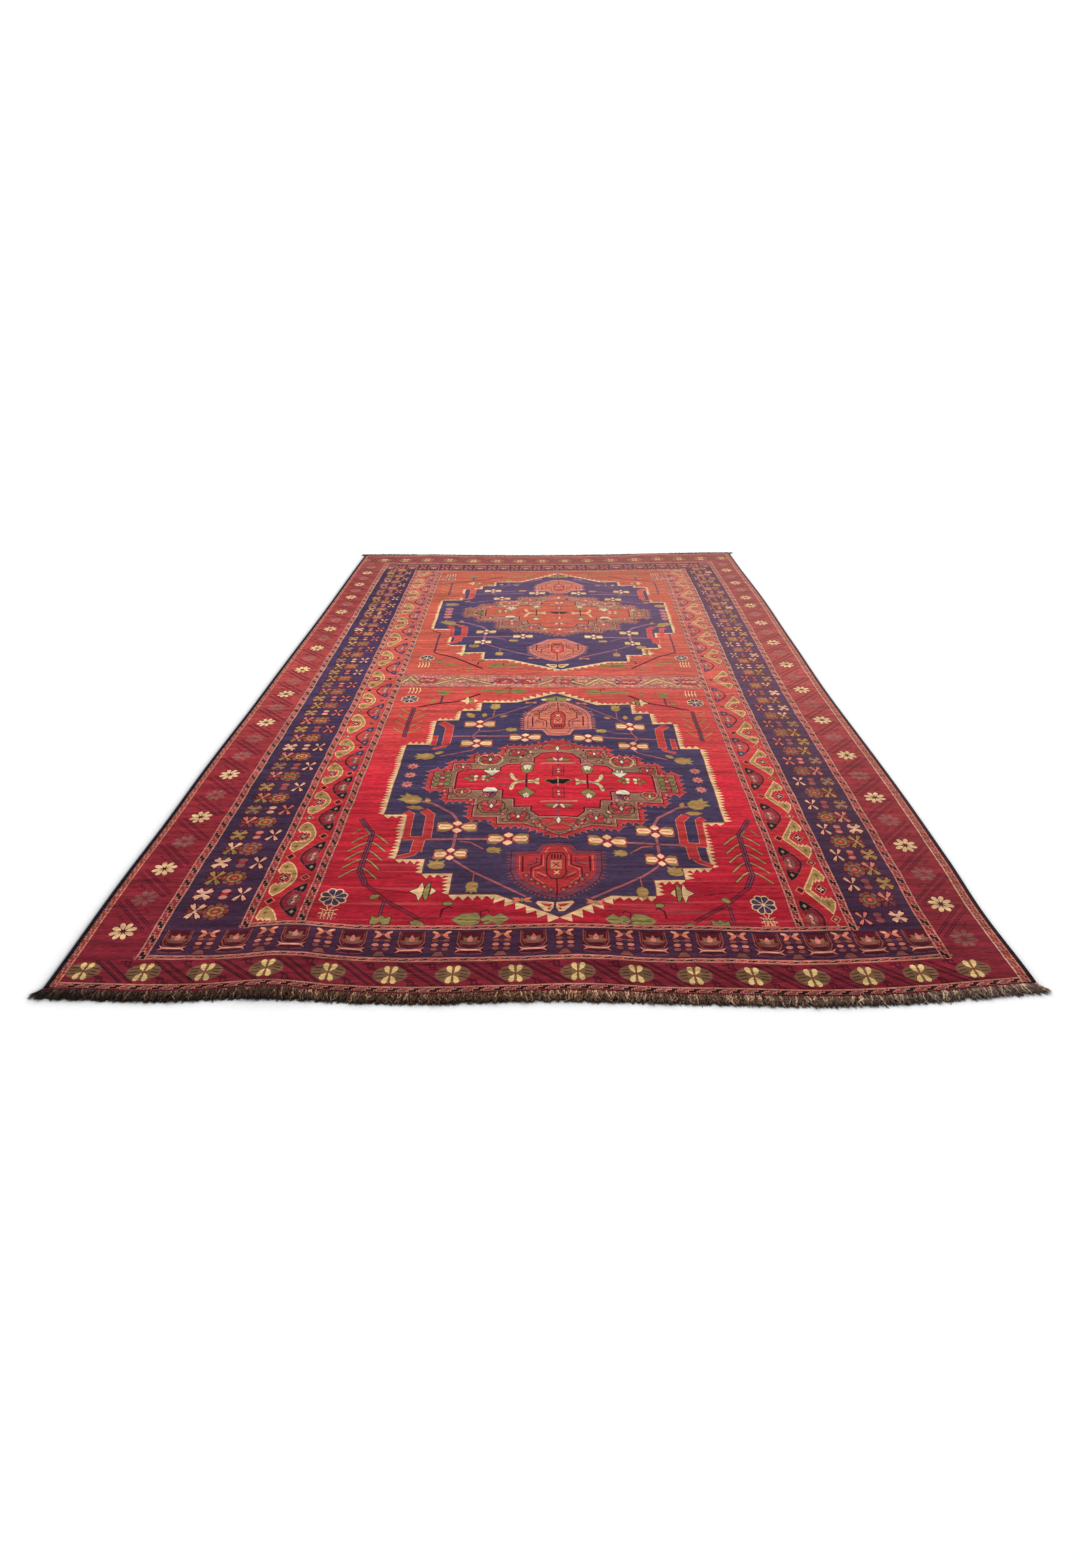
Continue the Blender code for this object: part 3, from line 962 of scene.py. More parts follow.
def pendant(pen, outer, inner, drop):
    """A lobed panel hanging from the light medallion, its tip down, drawn from its own top."""
    hem = [(-120, -36 - drop), (-120, -112), (-108, -146), (-76, -178), (-34, -206), (0, -214)]
    for half in pen.both():
        for start, end in zip(hem, hem[1:]):
            place, length = along_line(half, start, end)
            rim, yarn, tip = ("rust", outer, -17) if start in hem[:2] else ("wine", "dim", -12)
            for i in range(round(length / PENDANT_PITCH)):
                spot = place.at((i + 0.5) * PENDANT_PITCH, 0)
                spot.rimmed(rim, yarn, [(-4.5, 2), (0, tip), (4.5, 2)], 0.8)
    pen.rimmed("wine", outer, mirrored([(0, 0), (-40, -5), (-56 - 0.5 * drop, -34), *hem]), 2.4)
    ring = [(0, -12), (-32, -16), (-46, -46), (-106, -46 - 0.8 * drop), (-106, -110)]
    ring += [(-94, -138), (-66, -164), (-26, -192), (0, -196)]
    pen.rimmed("mauve", inner, mirrored(ring), 2.8)
    for half in pen.both():
        half.line("wine", [(-90, -56), (-90, -116)], 5)
        half.line("pink", [(-98, -54), (-98, -112)], 2)
        half.line("wine", [(-40, -50), (-40, -88), (-68, -102), (-68, -140), (-40, -168)], 3.6)
        half.line("salmon", [(-34, -50), (-34, -92), (-61, -106), (-61, -136), (-36, -160)], 2.2)
        half.line("navy", [(-52, -60), (-52, -82), (-78, -92)], 3)
        for x, y in ((-16, -184), (-33, -174), (-50, -160), (-66, -146), (-80, -130)):
            half.at(x, y).rimmed("wine", "dim", oval(7, 8, 6), 1.8)
            half.at(x, y).patch("pink", oval(2.2, 3, 5))
        half.line("dim", [(-84, -84), (-64, -84)], 5)
        half.line("pink", [(-52, -118), (-28, -132)], 3.4)
        half.line("wine", [(-50, -126), (-26, -142)], 2.4)
        half.line("salmon", [(-20, -20), (-30, -40)], 3)
    flask = mirrored([(-24, -60), (-16, -44)]) + mirrored([(24, -124), (12, -142)])
    pen.rimmed("ink", "scarlet", flask, 3)
    pen.rimmed("rust", "salmon", box(-15, -106, 15, -72), 2)
    for x in (-12, -4, 4, 12):
        pen.patch("ink", box(x - 2, -66, x + 2, -50))
    for turn in (45, -45):
        pen.at(0, -120, turn=turn).patch("cream", box(-10, -1.6, 10, 1.6))
        pen.at(0, -89, turn=turn).patch("wine", box(-12, -1.4, 12, 1.4))
    pen.line("wine", [(0, -144), (0, -212)], 4)


def butterfly(pen):
    """A palmette of two striped wings, 84 by 44 mm."""
    wing = [(3, 10), (40, 16), (44, 10), (32, -6), (22, -20), (10, -22), (3, -8)]
    for half in pen.both():
        half.rimmed("rust", "cream", wing, 1.5)
        half.patch("scarlet", [(5, 4), (34, 8), (24, -2), (12, -6)])
        half.patch("scarlet", [(6, -8), (16, -10), (14, -18)])
    pen.patch("navy", box(-2.5, -14, 2.5, 14))


def palmette(pen):
    """An olive palmette that fills the tip, 93 by 49 mm."""
    pen.rimmed("mauve", "olive", mirrored([(-20, -26), (-46, -4), (-40, 8), (-18, 12), (0, 26)]), 2)
    pen.rimmed("wine", "navy", box(-2.5, -12, 2.5, 12), 1.5)
    for half in pen.both():
        half.patch("cream", [(30, 2), (44, -2), (38, -14), (28, -8)])


def medallion(pen, sides, pendants, tooth, wide, details, inner, draw):
    """One of the two medallions. pendants are place, height and yarns of its two panels."""
    medallion_ground(pen, sides, tooth)
    stretched = pen.at(0, 0, wide=wide)
    for half in (stretched, stretched.at(0, 0, wide=-0.93, climb=0.10)):
        body_motifs(half, *details)
    for x, y, tall, outer, fill, drop in pendants:
        pendant(pen.at(x, y, wide=0.92, tall=tall), outer, fill, drop)
    heart = pen.at(0, inner["up"], wide=inner["wide"], tall=inner["tall"])
    inner_medallion(heart, inner["rim"], inner["specks"], draw)
    left = sides[0]
    butterfly(pen.at(-11, left[-1][1] + 41))
    palmette(pen.at(-2, left[0][1] - 47, wide=1.2))


NEAR_PLACES = {
    "flowers": ((-253, 379), (-253, 242), (-103, 282)),
    "stars": ((-431, 97), (-431, 44), (-431, -10)),
    "buds": ((-405, -94), (-398, 158)),
}
FAR_PLACES = {
    "flowers": ((-272, 340), (-230, 218), (-88, 303)),
    "stars": ((-420, 72), (-420, 34), (-420, -4), (-420, -42)),
    "buds": ((-405, -115), (-412, 136)),
}
NEAR_PENDANTS = (
    (-7, -309, 1.03, "mauve", "scarlet", 0),
    (2, 290, -1.26, "pink", "salmon", 0),
)
FAR_PENDANTS = (
    (-11, -320, 1.15, "pink", "salmon", 36),
    (2, 290, -1.1, "pink", "salmon", 10),
)
NEAR_SIDES = (
    staircase(
        620, 138,
        ((257, 547), (322, 480), (395, 408), (468, 235)),
        ((468, -170), (403, -372), (330, -430), (257, -510)),
        148, -597,
    ),
    staircase(
        620, 135,
        ((248, 522), (308, 448), (375, 368), (435, 193)),
        ((435, -218), (368, -413), (297, -458), (223, -517)),
        117, -597,
    ),
)
FAR_SIDES = (
    staircase(
        640, 182,
        ((304, 490), (363, 423), (438, 373), (524, 198)),
        ((524, -193), (440, -385), (377, -468), (295, -543)),
        199, -655,
    ),
    staircase(
        640, 201,
        ((282, 482), (349, 415), (403, 382), (463, 148)),
        ((463, -260), (387, -435), (321, -510), (256, -577)),
        176, -655,
    ),
)


# Field


def feather_leaves(pen, pitch, count):
    """Pairs of slanting leaves down a stem."""
    for i in range(count):
        for half in pen.at(0, -i * pitch).both():
            half.lined("wine", "straw", [(7, 2), (22, -10), (46, -38)], 5, 1.8)


def stem(pen, points):
    pen.lined("wine", "mauve", points, 10, 2.4)
    pen.line("wine", points, 2.6)


def star_figure(pen):
    """A cream star of lines over a small grid."""
    for spoke in pen.at(0, 6).ring(8, 22.5):
        spoke.line("cream", [(3, 0), (22, 0)], 2.2)
    for x in (-12, -4, 4, 12):
        pen.line("cream", [(x, 8), (x, -22)], 2)
    for y in (-14, -4):
        pen.line("salmon", [(-22, y), (22, y)], 2.2)
    pen.line("ink", [(-18, 4), (18, 4)], 2)


def comb(pen):
    for x in (-20, -8, 4, 16):
        pen.line("cream", [(x, 24), (x + 3, 0), (x, -24)], 4)
        pen.line("rust", [(x + 6, 22), (x + 7, -20)], 2)


def outlined_rosette(pen, size=1.0):
    pen = pen.at(0, 0, wide=size, tall=size)
    petal = folded([(4, -1), (15, -7.5), (27, -7), (31, 0)])
    for yarn, by in (("cream", 3), ("navy", 0)):
        for spoke in pen.ring(8, 22.5):
            spoke.patch(yarn, grown(petal, by))
    for spoke in pen.turned(0, 45, 90, 135):
        spoke.patch("cream", box(-22, -0.9, 22, 0.9))


def split_diamond(pen):
    """A small hourglass diamond, half cream and half olive, 62 by 67 mm."""
    pen.rimmed("ink", "cream", folded([(-31, 0), (-14, 12), (-6, 34), (0, 12)]), 2)
    pen.rimmed("ink", "olive", folded([(2, 12), (8, 30), (14, 30)]), 2)
    pen.rimmed("ink", "cream", folded([(18, 14), (31, 0)]), 2)


def box_tulip(pen):
    points = mirrored([(-22, -14), (-22, 12), (-10, 6), (0, 14)])
    pen.rimmed("wine", "olive", [*points, (8, -16), (0, -6), (-8, -16)], 2)


def ornate_leaf(pen):
    """A long leaf with a curled second blade, 129 by 58 mm."""
    first = [(-64, 0), (-40, 20), (-10, 22), (2, 4), (-4, -14), (-24, -22), (-44, -18)]
    second = [(0, 0), (16, 16), (30, 8), (44, 20), (64, 0), (42, -20), (28, -10), (12, -18)]
    for blade in (first, second):
        pen.rimmed("mauve", "olive", blade, 2.2)
    pen.line("wine", [(-50, 0), (-8, -2), (6, -10), (20, -4)], 2.4)
    pen.line("wine", [(2, 2), (-2, 24), (14, 32), (18, 22)], 3)
    pen.line("wine", [(26, 0), (56, 0)], 2)


def small_hook(pen):
    pen.line("wine", [(0, -24), (2, 2), (16, 12), (24, 6)], 5)
    pen.rimmed("wine", "olive", oval(12, 7, 8) + np.array([12, 22]), 2)


def lower_tree(pen):
    """The feathered stem beside the near medallion's foot, drawn for the left."""
    stem(pen, [(-526, -192), (-484, -262), (-482, -428), (-458, -478)])
    pen.lined("wine", "border_red", [(-466, -470), (-402, -532), (-313, -598)], 7, 2)
    pen.line("wine", [(-440, -488), (-350, -505)], 2.5)
    pen.lined("wine", "mauve", [(-404, -535), (-404, -590)], 4, 2)
    feather_leaves(pen.at(-483, -268), 37, 5)
    for half in pen.at(-512, -240).both():
        half.lined("rust", "taupe", [(6, 0), (16, -14), (22, -26)], 4, 1.2)


def lower_flowers(pen):
    """The small figures below one side of the near medallion, drawn for the left."""
    outlined_rosette(pen.at(-522, -529))
    star_figure(pen.at(-522, -585))
    split_diamond(pen.at(-320, -499))
    box_tulip(pen.at(-400, -600))
    ornate_leaf(pen.at(-178, -598))
    small_hook(pen.at(-268, -566))
    leaf(pen.at(-318, -612, turn=-20), "olive", "wine", 1.1)
    leaf(pen.at(-430, -520, turn=30), "olive", "wine", 0.8)


def upper_corner(pen, diamond_at):
    """What grows in the field above one side of a medallion, drawn for the left."""
    stem(pen, [(-488, 512), (-488, 288)])
    pen.line("wine", [(-478, 515), (-420, 540), (-340, 560), (-269, 622)], 10)
    pen.line("scarlet", [(-478, 512), (-350, 540), (-272, 560)], 5)
    for y in (480, 430, 380, 330):
        for half in pen.at(-488, y).both():
            half.lined("rust", "straw", [(8, -14), (28, 6), (44, 28)], 4.5, 1.8)
    stem(pen, [(-400, 610), (-400, 548)])
    tulip = mirrored([(-26, 26), (-12, 10), (0, 22)]) + mirrored([(16, -14), (6, -26)])
    pen.at(-400, 640).rimmed("wine", "olive", tulip, 2)
    comb(pen.at(-504, 655))
    outlined_rosette(pen.at(-511, 582), 0.95)
    split_diamond(pen.at(*diamond_at, tall=0.95))
    ornate_leaf(pen.at(-165, 645, wide=-1))
    box_tulip(pen.at(-248, 652))
    leaf(pen.at(-428, 565, turn=60), "olive", "wine", 1.0)
    leaf(pen.at(-318, 640, turn=80), "olive", "wine", 0.9)


def far_lower_corner(pen):
    """What grows in the field below one side of the far medallion, drawn for the left."""
    stem(pen, [(-502, -245), (-502, -470)])
    pen.line("wine", [(-540, -215), (-505, -240)], 7)
    pen.line("wine", [(-500, -472), (-420, -520), (-300, -640)], 9)
    outlined_rosette(pen.at(-522, -528), 0.9)
    comb(pen.at(-525, -595))
    split_diamond(pen.at(-385, -478, tall=0.9))
    box_tulip(pen.at(-425, -590))
    leaf(pen.at(-468, -572, turn=60), "olive", "wine", 1.2)
    ornate_leaf(pen.at(-222, -610))
    small_hook(pen.at(-322, -575))
    leaf(pen.at(-350, -640, turn=80), "olive", "wine", 1.1)


CORNER_SHARE = 0.62


def cross_band(pen, left, right, draw):
    """The band of small flowers, light zigzags and dark corners between the two fields."""
    low, high = CROSS_BAND
    pen = pen.at(0, 0, climb=CROSS_FALL)
    pen.patch("wine", box(left, low - 2, right, high + 2))
    pen.patch("pink", box(left, low, right, high))
    middle = (low + high) / 2
    for y in spaced((0, low + 24), (5, high - 24)):
        for x in spaced((0, left + 6), (84, right - 6)):
            speck = draw.choice(("salmon", "shell", "cream", "olive", "mauve", "shell", "rust"))
            pen.at(x + draw.uniform(-3, 3), y + draw.uniform(-3, 3)).patch(speck, diamond(4.6, 4.6))
    for start, end in ((-520, -456), (-392, -196), (-26, 146), (146, 262), (346, 476), (476, 560)):
        rise = [(start, low + 26), (start + 0.45 * (end - start), high - 26), (end, low + 26)]
        for yarn, width in (("rust", 24), ("olive", 20), ("cream", 8), ("salmon", 2.4)):
            pen.line(yarn, rise, width)
    for x in (-424, -150, -62, 60, 304, 520):
        panel = pen.at(x, middle)
        outline = [*mirrored([(-40, 0), (-22, 26)]), (22, -26), (-22, -26)]
        panel.rimmed("wine", "border_red", outline, 2.5)
        for corner_x, corner_y, turn in ((-40, 18, 0), (40, 18, 90), (40, -18, 180), (-40, -18, 270)):
            if draw.random() < CORNER_SHARE:
                corner = panel.at(corner_x, corner_y, turn=turn)
                corner.rimmed("pink", "navy", [(-9, -9), (10, -7), (-7, 10)], 1.6)
        for flower_x in (-18, 0, 18):
            flower = panel.at(flower_x, draw.uniform(-5, 5), turn=draw.uniform(0, 60))
            for spoke in flower.ring(5):
                spoke.patch(draw.choice(("pink", "shell", "mauve")), folded([(2, -2), (10, -4)]))
            flower.patch("wine", oval(2.4, 2.4, 5))
    for y in (low + 9, high - 9):
        pen.patch("pink", box(left, y - 8, right, y + 8))
        count = round((right - left) / 16)
        for i in range(count):
            place = pen.at(left + (i + 0.5) * (right - left) / count, y + draw.uniform(-1, 1))
            place.patch(("wine", "scarlet", "olive")[i % 3], diamond(7.4, 7))
            place.patch(("cream", "shell", "pink")[draw.randrange(3)], diamond(4, 4))
    pen.line("wine", [(48, low), (48, high)], 4)
    for y in spaced((0, low + 10), (4, high - 10)):
        pen.at(48, y).rimmed("wine", "pink", diamond(9, 11), 1.6)


def field(pen, draw):
    left, right, low, high = FIELD
    pen.patch("crimson", box(left, low, right, high))
    near = pen.at(*NEAR_MIDDLE)
    far = pen.at(*FAR_MIDDLE)
    lower_tree(near)
    lower_tree(near.at(0, 0, wide=-0.955, climb=0.03))
    lower_flowers(near)
    lower_flowers(near.at(0, 0, wide=-0.89, climb=0.03))
    upper_corner(near, (-304, 564))
    upper_corner(near.at(0, 0, wide=-0.93, climb=0.09), (-304, 564))
    far_lower_corner(far.at(0, 0, wide=0.98))
    far_lower_corner(far.at(0, 0, wide=-0.89, climb=0.03))
    upper_corner(far.at(0, 0, wide=1.04, tall=0.95), (-390, 498))
    upper_corner(far.at(0, 0, wide=-0.93, tall=0.95, climb=0.02), (-398, 484))
    near_inner = {"up": 0, "wide": 1.0, "tall": 1.0, "rim": "scarlet", "specks": 70}
    far_inner = {"up": 8, "wide": 1.11, "tall": 1.05, "rim": "dim", "specks": 260}
    medallion(near, NEAR_SIDES, NEAR_PENDANTS, 27, 1.0, (1.0, 0, 1.0, NEAR_PLACES), near_inner, draw)
    medallion(far, FAR_SIDES, FAR_PENDANTS, 20, 1.15, (0.7, -50, 0.86, FAR_PLACES), far_inner, draw)
    cross_band(pen, LEFT["vine"][1] + 25, RIGHT["vine"][0] - 22, draw)


CHART_SEED = 5


def chart():
    """Every patch of the pattern in its order, as yarn numbers and points in millimetres."""
    patches = []
    pen = Pen(patches)
    draw = random.Random(CHART_SEED)
    pen.patch("navy", box(-HALF_ACROSS, -HALF_ALONG, HALF_ACROSS, HALF_ALONG))
    vine_borders(pen, draw)
    navy_borders(pen, draw)
    red_borders(pen)
    field(pen, draw)
    guards(pen, draw)
    return patches


# Cloth


GRID_STEP = 50.0
LONGEST_EDGE = 36.0
# How far a line may be off when its corners are dropped, at the near and at the far end
LINE_SLACK = (0.45, 1.8)
# The underside takes only patches above this area and wider than this, on a coarser grid
LEAST_UNDER = 20000.0
LEAST_UNDER_WIDTH = 90
UNDER_STEP = 90.0
NEAR_ENOUGH = 1e-6


def clipped(points):
    """The outline cut to the cloth's rectangle, one straight side after another."""
    for axis, limit in ((0, HALF_ACROSS), (0, -HALF_ACROSS), (1, HALF_ALONG), (1, -HALF_ALONG)):
        sign = 1 if limit > 0 else -1
        kept = []
        for a, b in zip(points, np.roll(points, -1, axis=0)):
            inside_a = sign * a[axis] <= abs(limit)
            inside_b = sign * b[axis] <= abs(limit)
            if inside_a:
                kept.append(a)
            if inside_a != inside_b:
                kept.append(a + (b - a) * (limit - a[axis]) / (b[axis] - a[axis]))
        points = np.array(kept)
        if len(points) < 3:
            return None
    return points


def divided(points):
    """A closed outline with its long sides divided, so that it can bend with the cloth."""
    rows = []
    for a, b in zip(points, np.roll(points, -1, axis=0)):
        count = max(1, math.ceil(np.linalg.norm(b - a) / LONGEST_EDGE))
        rows.append(a + (b - a) * (np.arange(count) / count)[:, None])
    return np.vstack(rows)


def inside(points, x, y):
    """Which of the places are inside a closed outline."""
    found = np.zeros(len(x), bool)
    for (x0, y0), (x1, y1) in zip(points, np.roll(points, -1, axis=0)):
        if y0 == y1:
            continue
        crosses = (y0 > y) != (y1 > y)
        found ^= crosses & (x < x0 + (y - y0) * (x1 - x0) / (y1 - y0))
    return found


def sides_of(faces):
    return np.vstack([faces[:, [0, 1]], faces[:, [1, 2]], faces[:, [2, 0]]])


def seams(faces, yarns):
    """The edges between two yarns, and those along the outside."""
    edges = np.sort(sides_of(faces), axis=1)
    owners = np.tile(np.arange(len(faces)), 3)
    order = np.lexsort((edges[:, 1], edges[:, 0]))
    edges, owners = edges[order], owners[order]
    paired = np.all(edges[1:] == edges[:-1], axis=1)
    split = paired & (yarns[owners[1:]] != yarns[owners[:-1]])
    alone = ~np.append(paired, False) & ~np.insert(paired, 0, False)
    return np.vstack([edges[:-1][split], edges[alone]])


def off_line(places, first, last):
    """How far the places between two of a chain stand off the straight line that joins them."""
    (x0, y0), (x1, y1) = places[first], places[last]
    length = math.hypot(x1 - x0, y1 - y0)
    if length > LONGEST_EDGE or length == 0:
        return math.inf
    between = places[first + 1 : last]
    return max(abs((x - x0) * (y1 - y0) - (y - y0) * (x1 - x0)) / length for x, y in between)


def straightened(corners, edges):
    """The same lines drawn with fewer corners."""
    neighbours = {}
    for a, b in edges.tolist():
        neighbours.setdefault(a, []).append(b)
        neighbours.setdefault(b, []).append(a)
    joints = [a for a, others in neighbours.items() if len(others) != 2]
    seen, lines = set(), []
    for start in joints + list(neighbours):
        for following in neighbours[start]:
            if (start, following) in seen:
                continue
            chain = [start, following]
            while len(neighbours[chain[-1]]) == 2 and chain[-1] != start:
                first, second = neighbours[chain[-1]]
                chain.append(second if first == chain[-2] else first)
            seen.update(zip(chain, chain[1:]))
            seen.update(zip(chain[1:], chain))
            places = corners[chain].tolist()
            first = 0
            while first < len(chain) - 1:
                last = first + 1
                slack = np.interp(places[first][1], (-HALF_ALONG, HALF_ALONG), LINE_SLACK)
                while last + 1 < len(chain) and off_line(places, first, last + 1) < slack:
                    last += 1
                lines.append((chain[first], chain[last]))
                first = last
    return lines


def woven(patches, step, ring=None):
    """Triangles that keep every patch's edges, with the yarn that is uppermost in each."""
    outlines = []
    for yarn, points in patches:
        points = clipped(points)
        if points is not None:
            outlines.append((yarn, hand_drawn(divided(points))))
    if ring is not None:
        outlines[0] = (outlines[0][0], ring)
    places, edges = [], []
    for _, points in outlines:
        start = len(places)
        places += [Vector(point) for point in points]
        count = len(points)
        edges += [(start + i, start + (i + 1) % count) for i in range(count)]
    if ring is None:
        corners, faces, yarns = topmost(places, edges, outlines)
        lines = straightened(corners, seams(faces, yarns))
        used = sorted({a for line in lines for a in line})
        number = {a: i for i, a in enumerate(used)}
        places = [Vector(corners[a]) for a in used]
        edges = [(number[a], number[b]) for a, b in lines]
    columns = round(2 * HALF_ACROSS / step)
    rows = round(2 * HALF_ALONG / step)
    for i in range(1, columns):
        for j in range(1, rows):
            x = -HALF_ACROSS + 2 * HALF_ACROSS * i / columns
            y = -HALF_ALONG + 2 * HALF_ALONG * j / rows
            places.append(Vector((x, y)))
    return topmost(places, edges, outlines)


def topmost(places, edges, outlines):
    """Triangles between the edges, with the yarn of the last outline that covers each."""
    found = delaunay_2d_cdt(places, edges, [], 1, NEAR_ENOUGH / MM, False)
    corners = np.array([tuple(place) for place in found[0]])
    faces = np.array([face for face in found[2]])
    middles = corners[faces].mean(axis=1)
    order = np.argsort(middles[:, 1])
    x, y = middles[order].T
    yarns = np.zeros(len(faces), int)
    for yarn, points in outlines:
        low, high = np.searchsorted(y, (points[:, 1].min(), points[:, 1].max()))
        if high > low:
            near = (x[low:high] >= points[:, 0].min()) & (x[low:high] <= points[:, 0].max())
            index = low + np.nonzero(near)[0]
            index = index[inside(points, x[index], y[index])]
            yarns[order[index]] = yarn
    return corners, faces, yarns


def hump(offset, half_size):
    """A smooth rise from 0 to 1 and back over two half sizes, 0 outside them."""
    share = np.minimum(np.abs(offset) / half_size, 1)
    return 0.5 + 0.5 * np.cos(np.pi * share)


def bow(rows, place):
    return sum(rise * hump(place - centre, half_size) for centre, half_size, rise in rows)


def laid(points):
    """Where places on the square-cut rug, in millimetres, lie on the cloth's top, in metres."""
    x, y = (np.asarray(points, float) * MM).T
    near_share = hump(y + LENGTH / 2, BOW_RUN)
    far_share = hump(y - LENGTH / 2, BOW_RUN)
    side = np.where(x > 0, bow(RIGHT_BOWS, y), -bow(LEFT_BOWS, y)) * (x / (WIDTH / 2)) ** 2
    along = far_share * bow(FAR_BOWS, x) - near_share * bow(NEAR_BOWS, x) + SLANT * x + MIDDLE_Y
    lifts = [rise * hump(x - at_x, wide) * hump(y - at_y, long) for at_x, at_y, wide, long, rise in WAVES]
    return np.stack([x + side, y + along, np.max(lifts, axis=0) + THICKNESS], axis=1)


SMALL_SHIFT = 0.5
SHIFT_MARGIN = 40
# The pattern's sides are set wider apart beyond this line, by this much at most
SPREAD_FROM = -300
SPREAD_RUN = 1300
SPREAD_INSIDE = 250
FAR_SPREAD = 17


def wander(a, b, size, waves):
    """A small uneven shift, in waves of these lengths."""
    first, second, third, fourth = waves
    return size * np.sin(a / first + np.sin(b / second)) + SMALL_SHIFT * np.sin(a / third + b / fourth)


def hand_drawn(points):
    """Small uneven shifts of the pattern, and its sides wider apart at the far end."""
    x, y = points.T
    fade = np.clip((HALF_ACROSS - np.abs(x)) / SHIFT_MARGIN, 0, 1)
    fade *= np.clip((HALF_ALONG - np.abs(y)) / SHIFT_MARGIN, 0, 1)
    shift_x = wander(y, x, 0.9, (31, 83, 9.7, 41))
    shift_y = wander(x, y, 1.1, (47, 61, 13, 37))
    spread = np.clip((y - SPREAD_FROM) / SPREAD_RUN, 0, 1)
    spread *= np.clip((np.abs(x) - SPREAD_INSIDE) / SPREAD_INSIDE, 0, 1)
    spread *= FAR_SPREAD * (1 - (np.abs(x) * MM / CLOTH_HALF_WIDTH) ** 6)
    return np.stack([x + fade * shift_x + np.sign(x) * spread, y + fade * shift_y], axis=1)


def outer_ring(faces):
    """The corners along the outside, in order."""
    known = {(a, b) for a, b in sides_of(faces).tolist()}
    following = {a: b for a, b in known if (b, a) not in known}
    start = next(iter(following))
    ring = [start]
    while following[ring[-1]] != start:
        ring.append(following[ring[-1]])
    return ring


def mesh_of(name, vertices, faces, materials, numbers):
    """A smooth mesh. numbers are each face's place in the materials."""
    mesh = bpy.data.meshes.new(name)
    mesh.from_pydata(vertices, [], faces)
    for material in materials:
        mesh.materials.append(material)
    mesh.polygons.foreach_set("material_index", numbers)
    mesh.shade_smooth()
    return mesh


def under_patch(points):
    return abs(signed_area(points)) > LEAST_UNDER and np.ptp(points, axis=0).min() > LEAST_UNDER_WIDTH


def cloth_mesh(materials):
    """The cloth: its patterned top, a plainer underside and the wall between their rings."""
    patches = chart()
    corners, faces, yarns = woven(patches, GRID_STEP)
    ring = outer_ring(faces)
    plain = [patch for patch in patches if under_patch(patch[1])]
    under_corners, under_faces, under_yarns = woven(plain, UNDER_STEP, corners[ring])
    top = laid(corners)
    under = laid(under_corners) - np.array([0, 0, THICKNESS])
    count = len(top)
    walls = wall_faces(corners, ring, under_corners, outer_ring(under_faces), count)
    vertices = np.vstack([top, under])
    all_faces = faces.tolist() + (under_faces[:, ::-1] + count).tolist() + walls
    numbers = yarns.tolist() + under_yarns.tolist() + [YARN_NAMES.index("wine")] * len(walls)
    wools = [materials[name] for name in YARN_NAMES]
    mesh = mesh_of("kilim", vertices.tolist(), all_faces, wools, numbers)
    planar_map(mesh)
    return mesh


def wall_faces(corners, ring, under_corners, under_ring, offset):
    """Quads between the two rings, which have the same places."""
    below = {tuple(np.round(under_corners[i], 3)): i + offset for i in under_ring}
    lower = [below[tuple(np.round(corners[i], 3))] for i in ring]
    quads = zip(ring, ring[1:] + ring[:1], lower, lower[1:] + lower[:1])
    return [(b, a, low_a, low_b) for a, b, low_a, low_b in quads]


def planar_map(mesh):
    """One flat map over the whole piece, for the bake."""
    places = np.zeros(len(mesh.vertices) * 3)
    mesh.vertices.foreach_get("co", places)
    places = places.reshape(-1, 3)[:, :2]
    low, high = places.min(axis=0), places.max(axis=0)
    flat = (places - low) / (high - low)
    index = np.zeros(len(mesh.loops), int)
    mesh.loops.foreach_get("vertex_index", index)
    layer = mesh.uv_layers.new(name="OFBake")
    layer.data.foreach_set("uv", flat[index].ravel())


# Materials


def linear(colour):
    """A colour out of 255 as the shader takes it."""
    shares = [value / 255 for value in colour]
    return tuple(s / 12.92 if s <= 0.04045 else ((s + 0.055) / 1.055) ** 2.4 for s in shares)


def lit(colour, light):
    return (*(light * value for value in linear(colour)), 1)


WEFT_PITCH = 0.0022
RIB_HEIGHT = 0.25
BUMP_STRENGTH = 0.5
BUMP_DEPTH = 0.001
# Scales of the noise in the wool, per metre, and how far each lightens or darkens it
WEAVE_NOISE = (
    ((1.1, 21, 1), 0.17),
    ((9, 75, 1), 0.30),
    ((60, 330, 1), 0.34),
)
NOISE_SPAN = (0.3, 0.7)
# The rug is paler towards its far right corner, a painted sheen of light from that side, and in streaks
# along the weft towards the same pale colour
PAINTED_SHEEN_AND_STREAK_COLOUR = (205, 150, 140)
PAINTED_SHEEN_SHARE = 0.20
PAINTED_SHEEN_SPAN = (-0.2, 1.28)
PAINTED_SHEEN_ACROSS = 0.9
PAINTED_SHEEN_ALONG = 0.6
STREAK_NOISE = (2.0, 85, 1)
STREAK_SPAN = (0.57, 0.76)
STREAK_SHARE = 0.04
FIELD_STREAK_SHARE = 0.22
WOOL_LIGHT = 0.90
WOOL_ROUGHNESS = 0.95


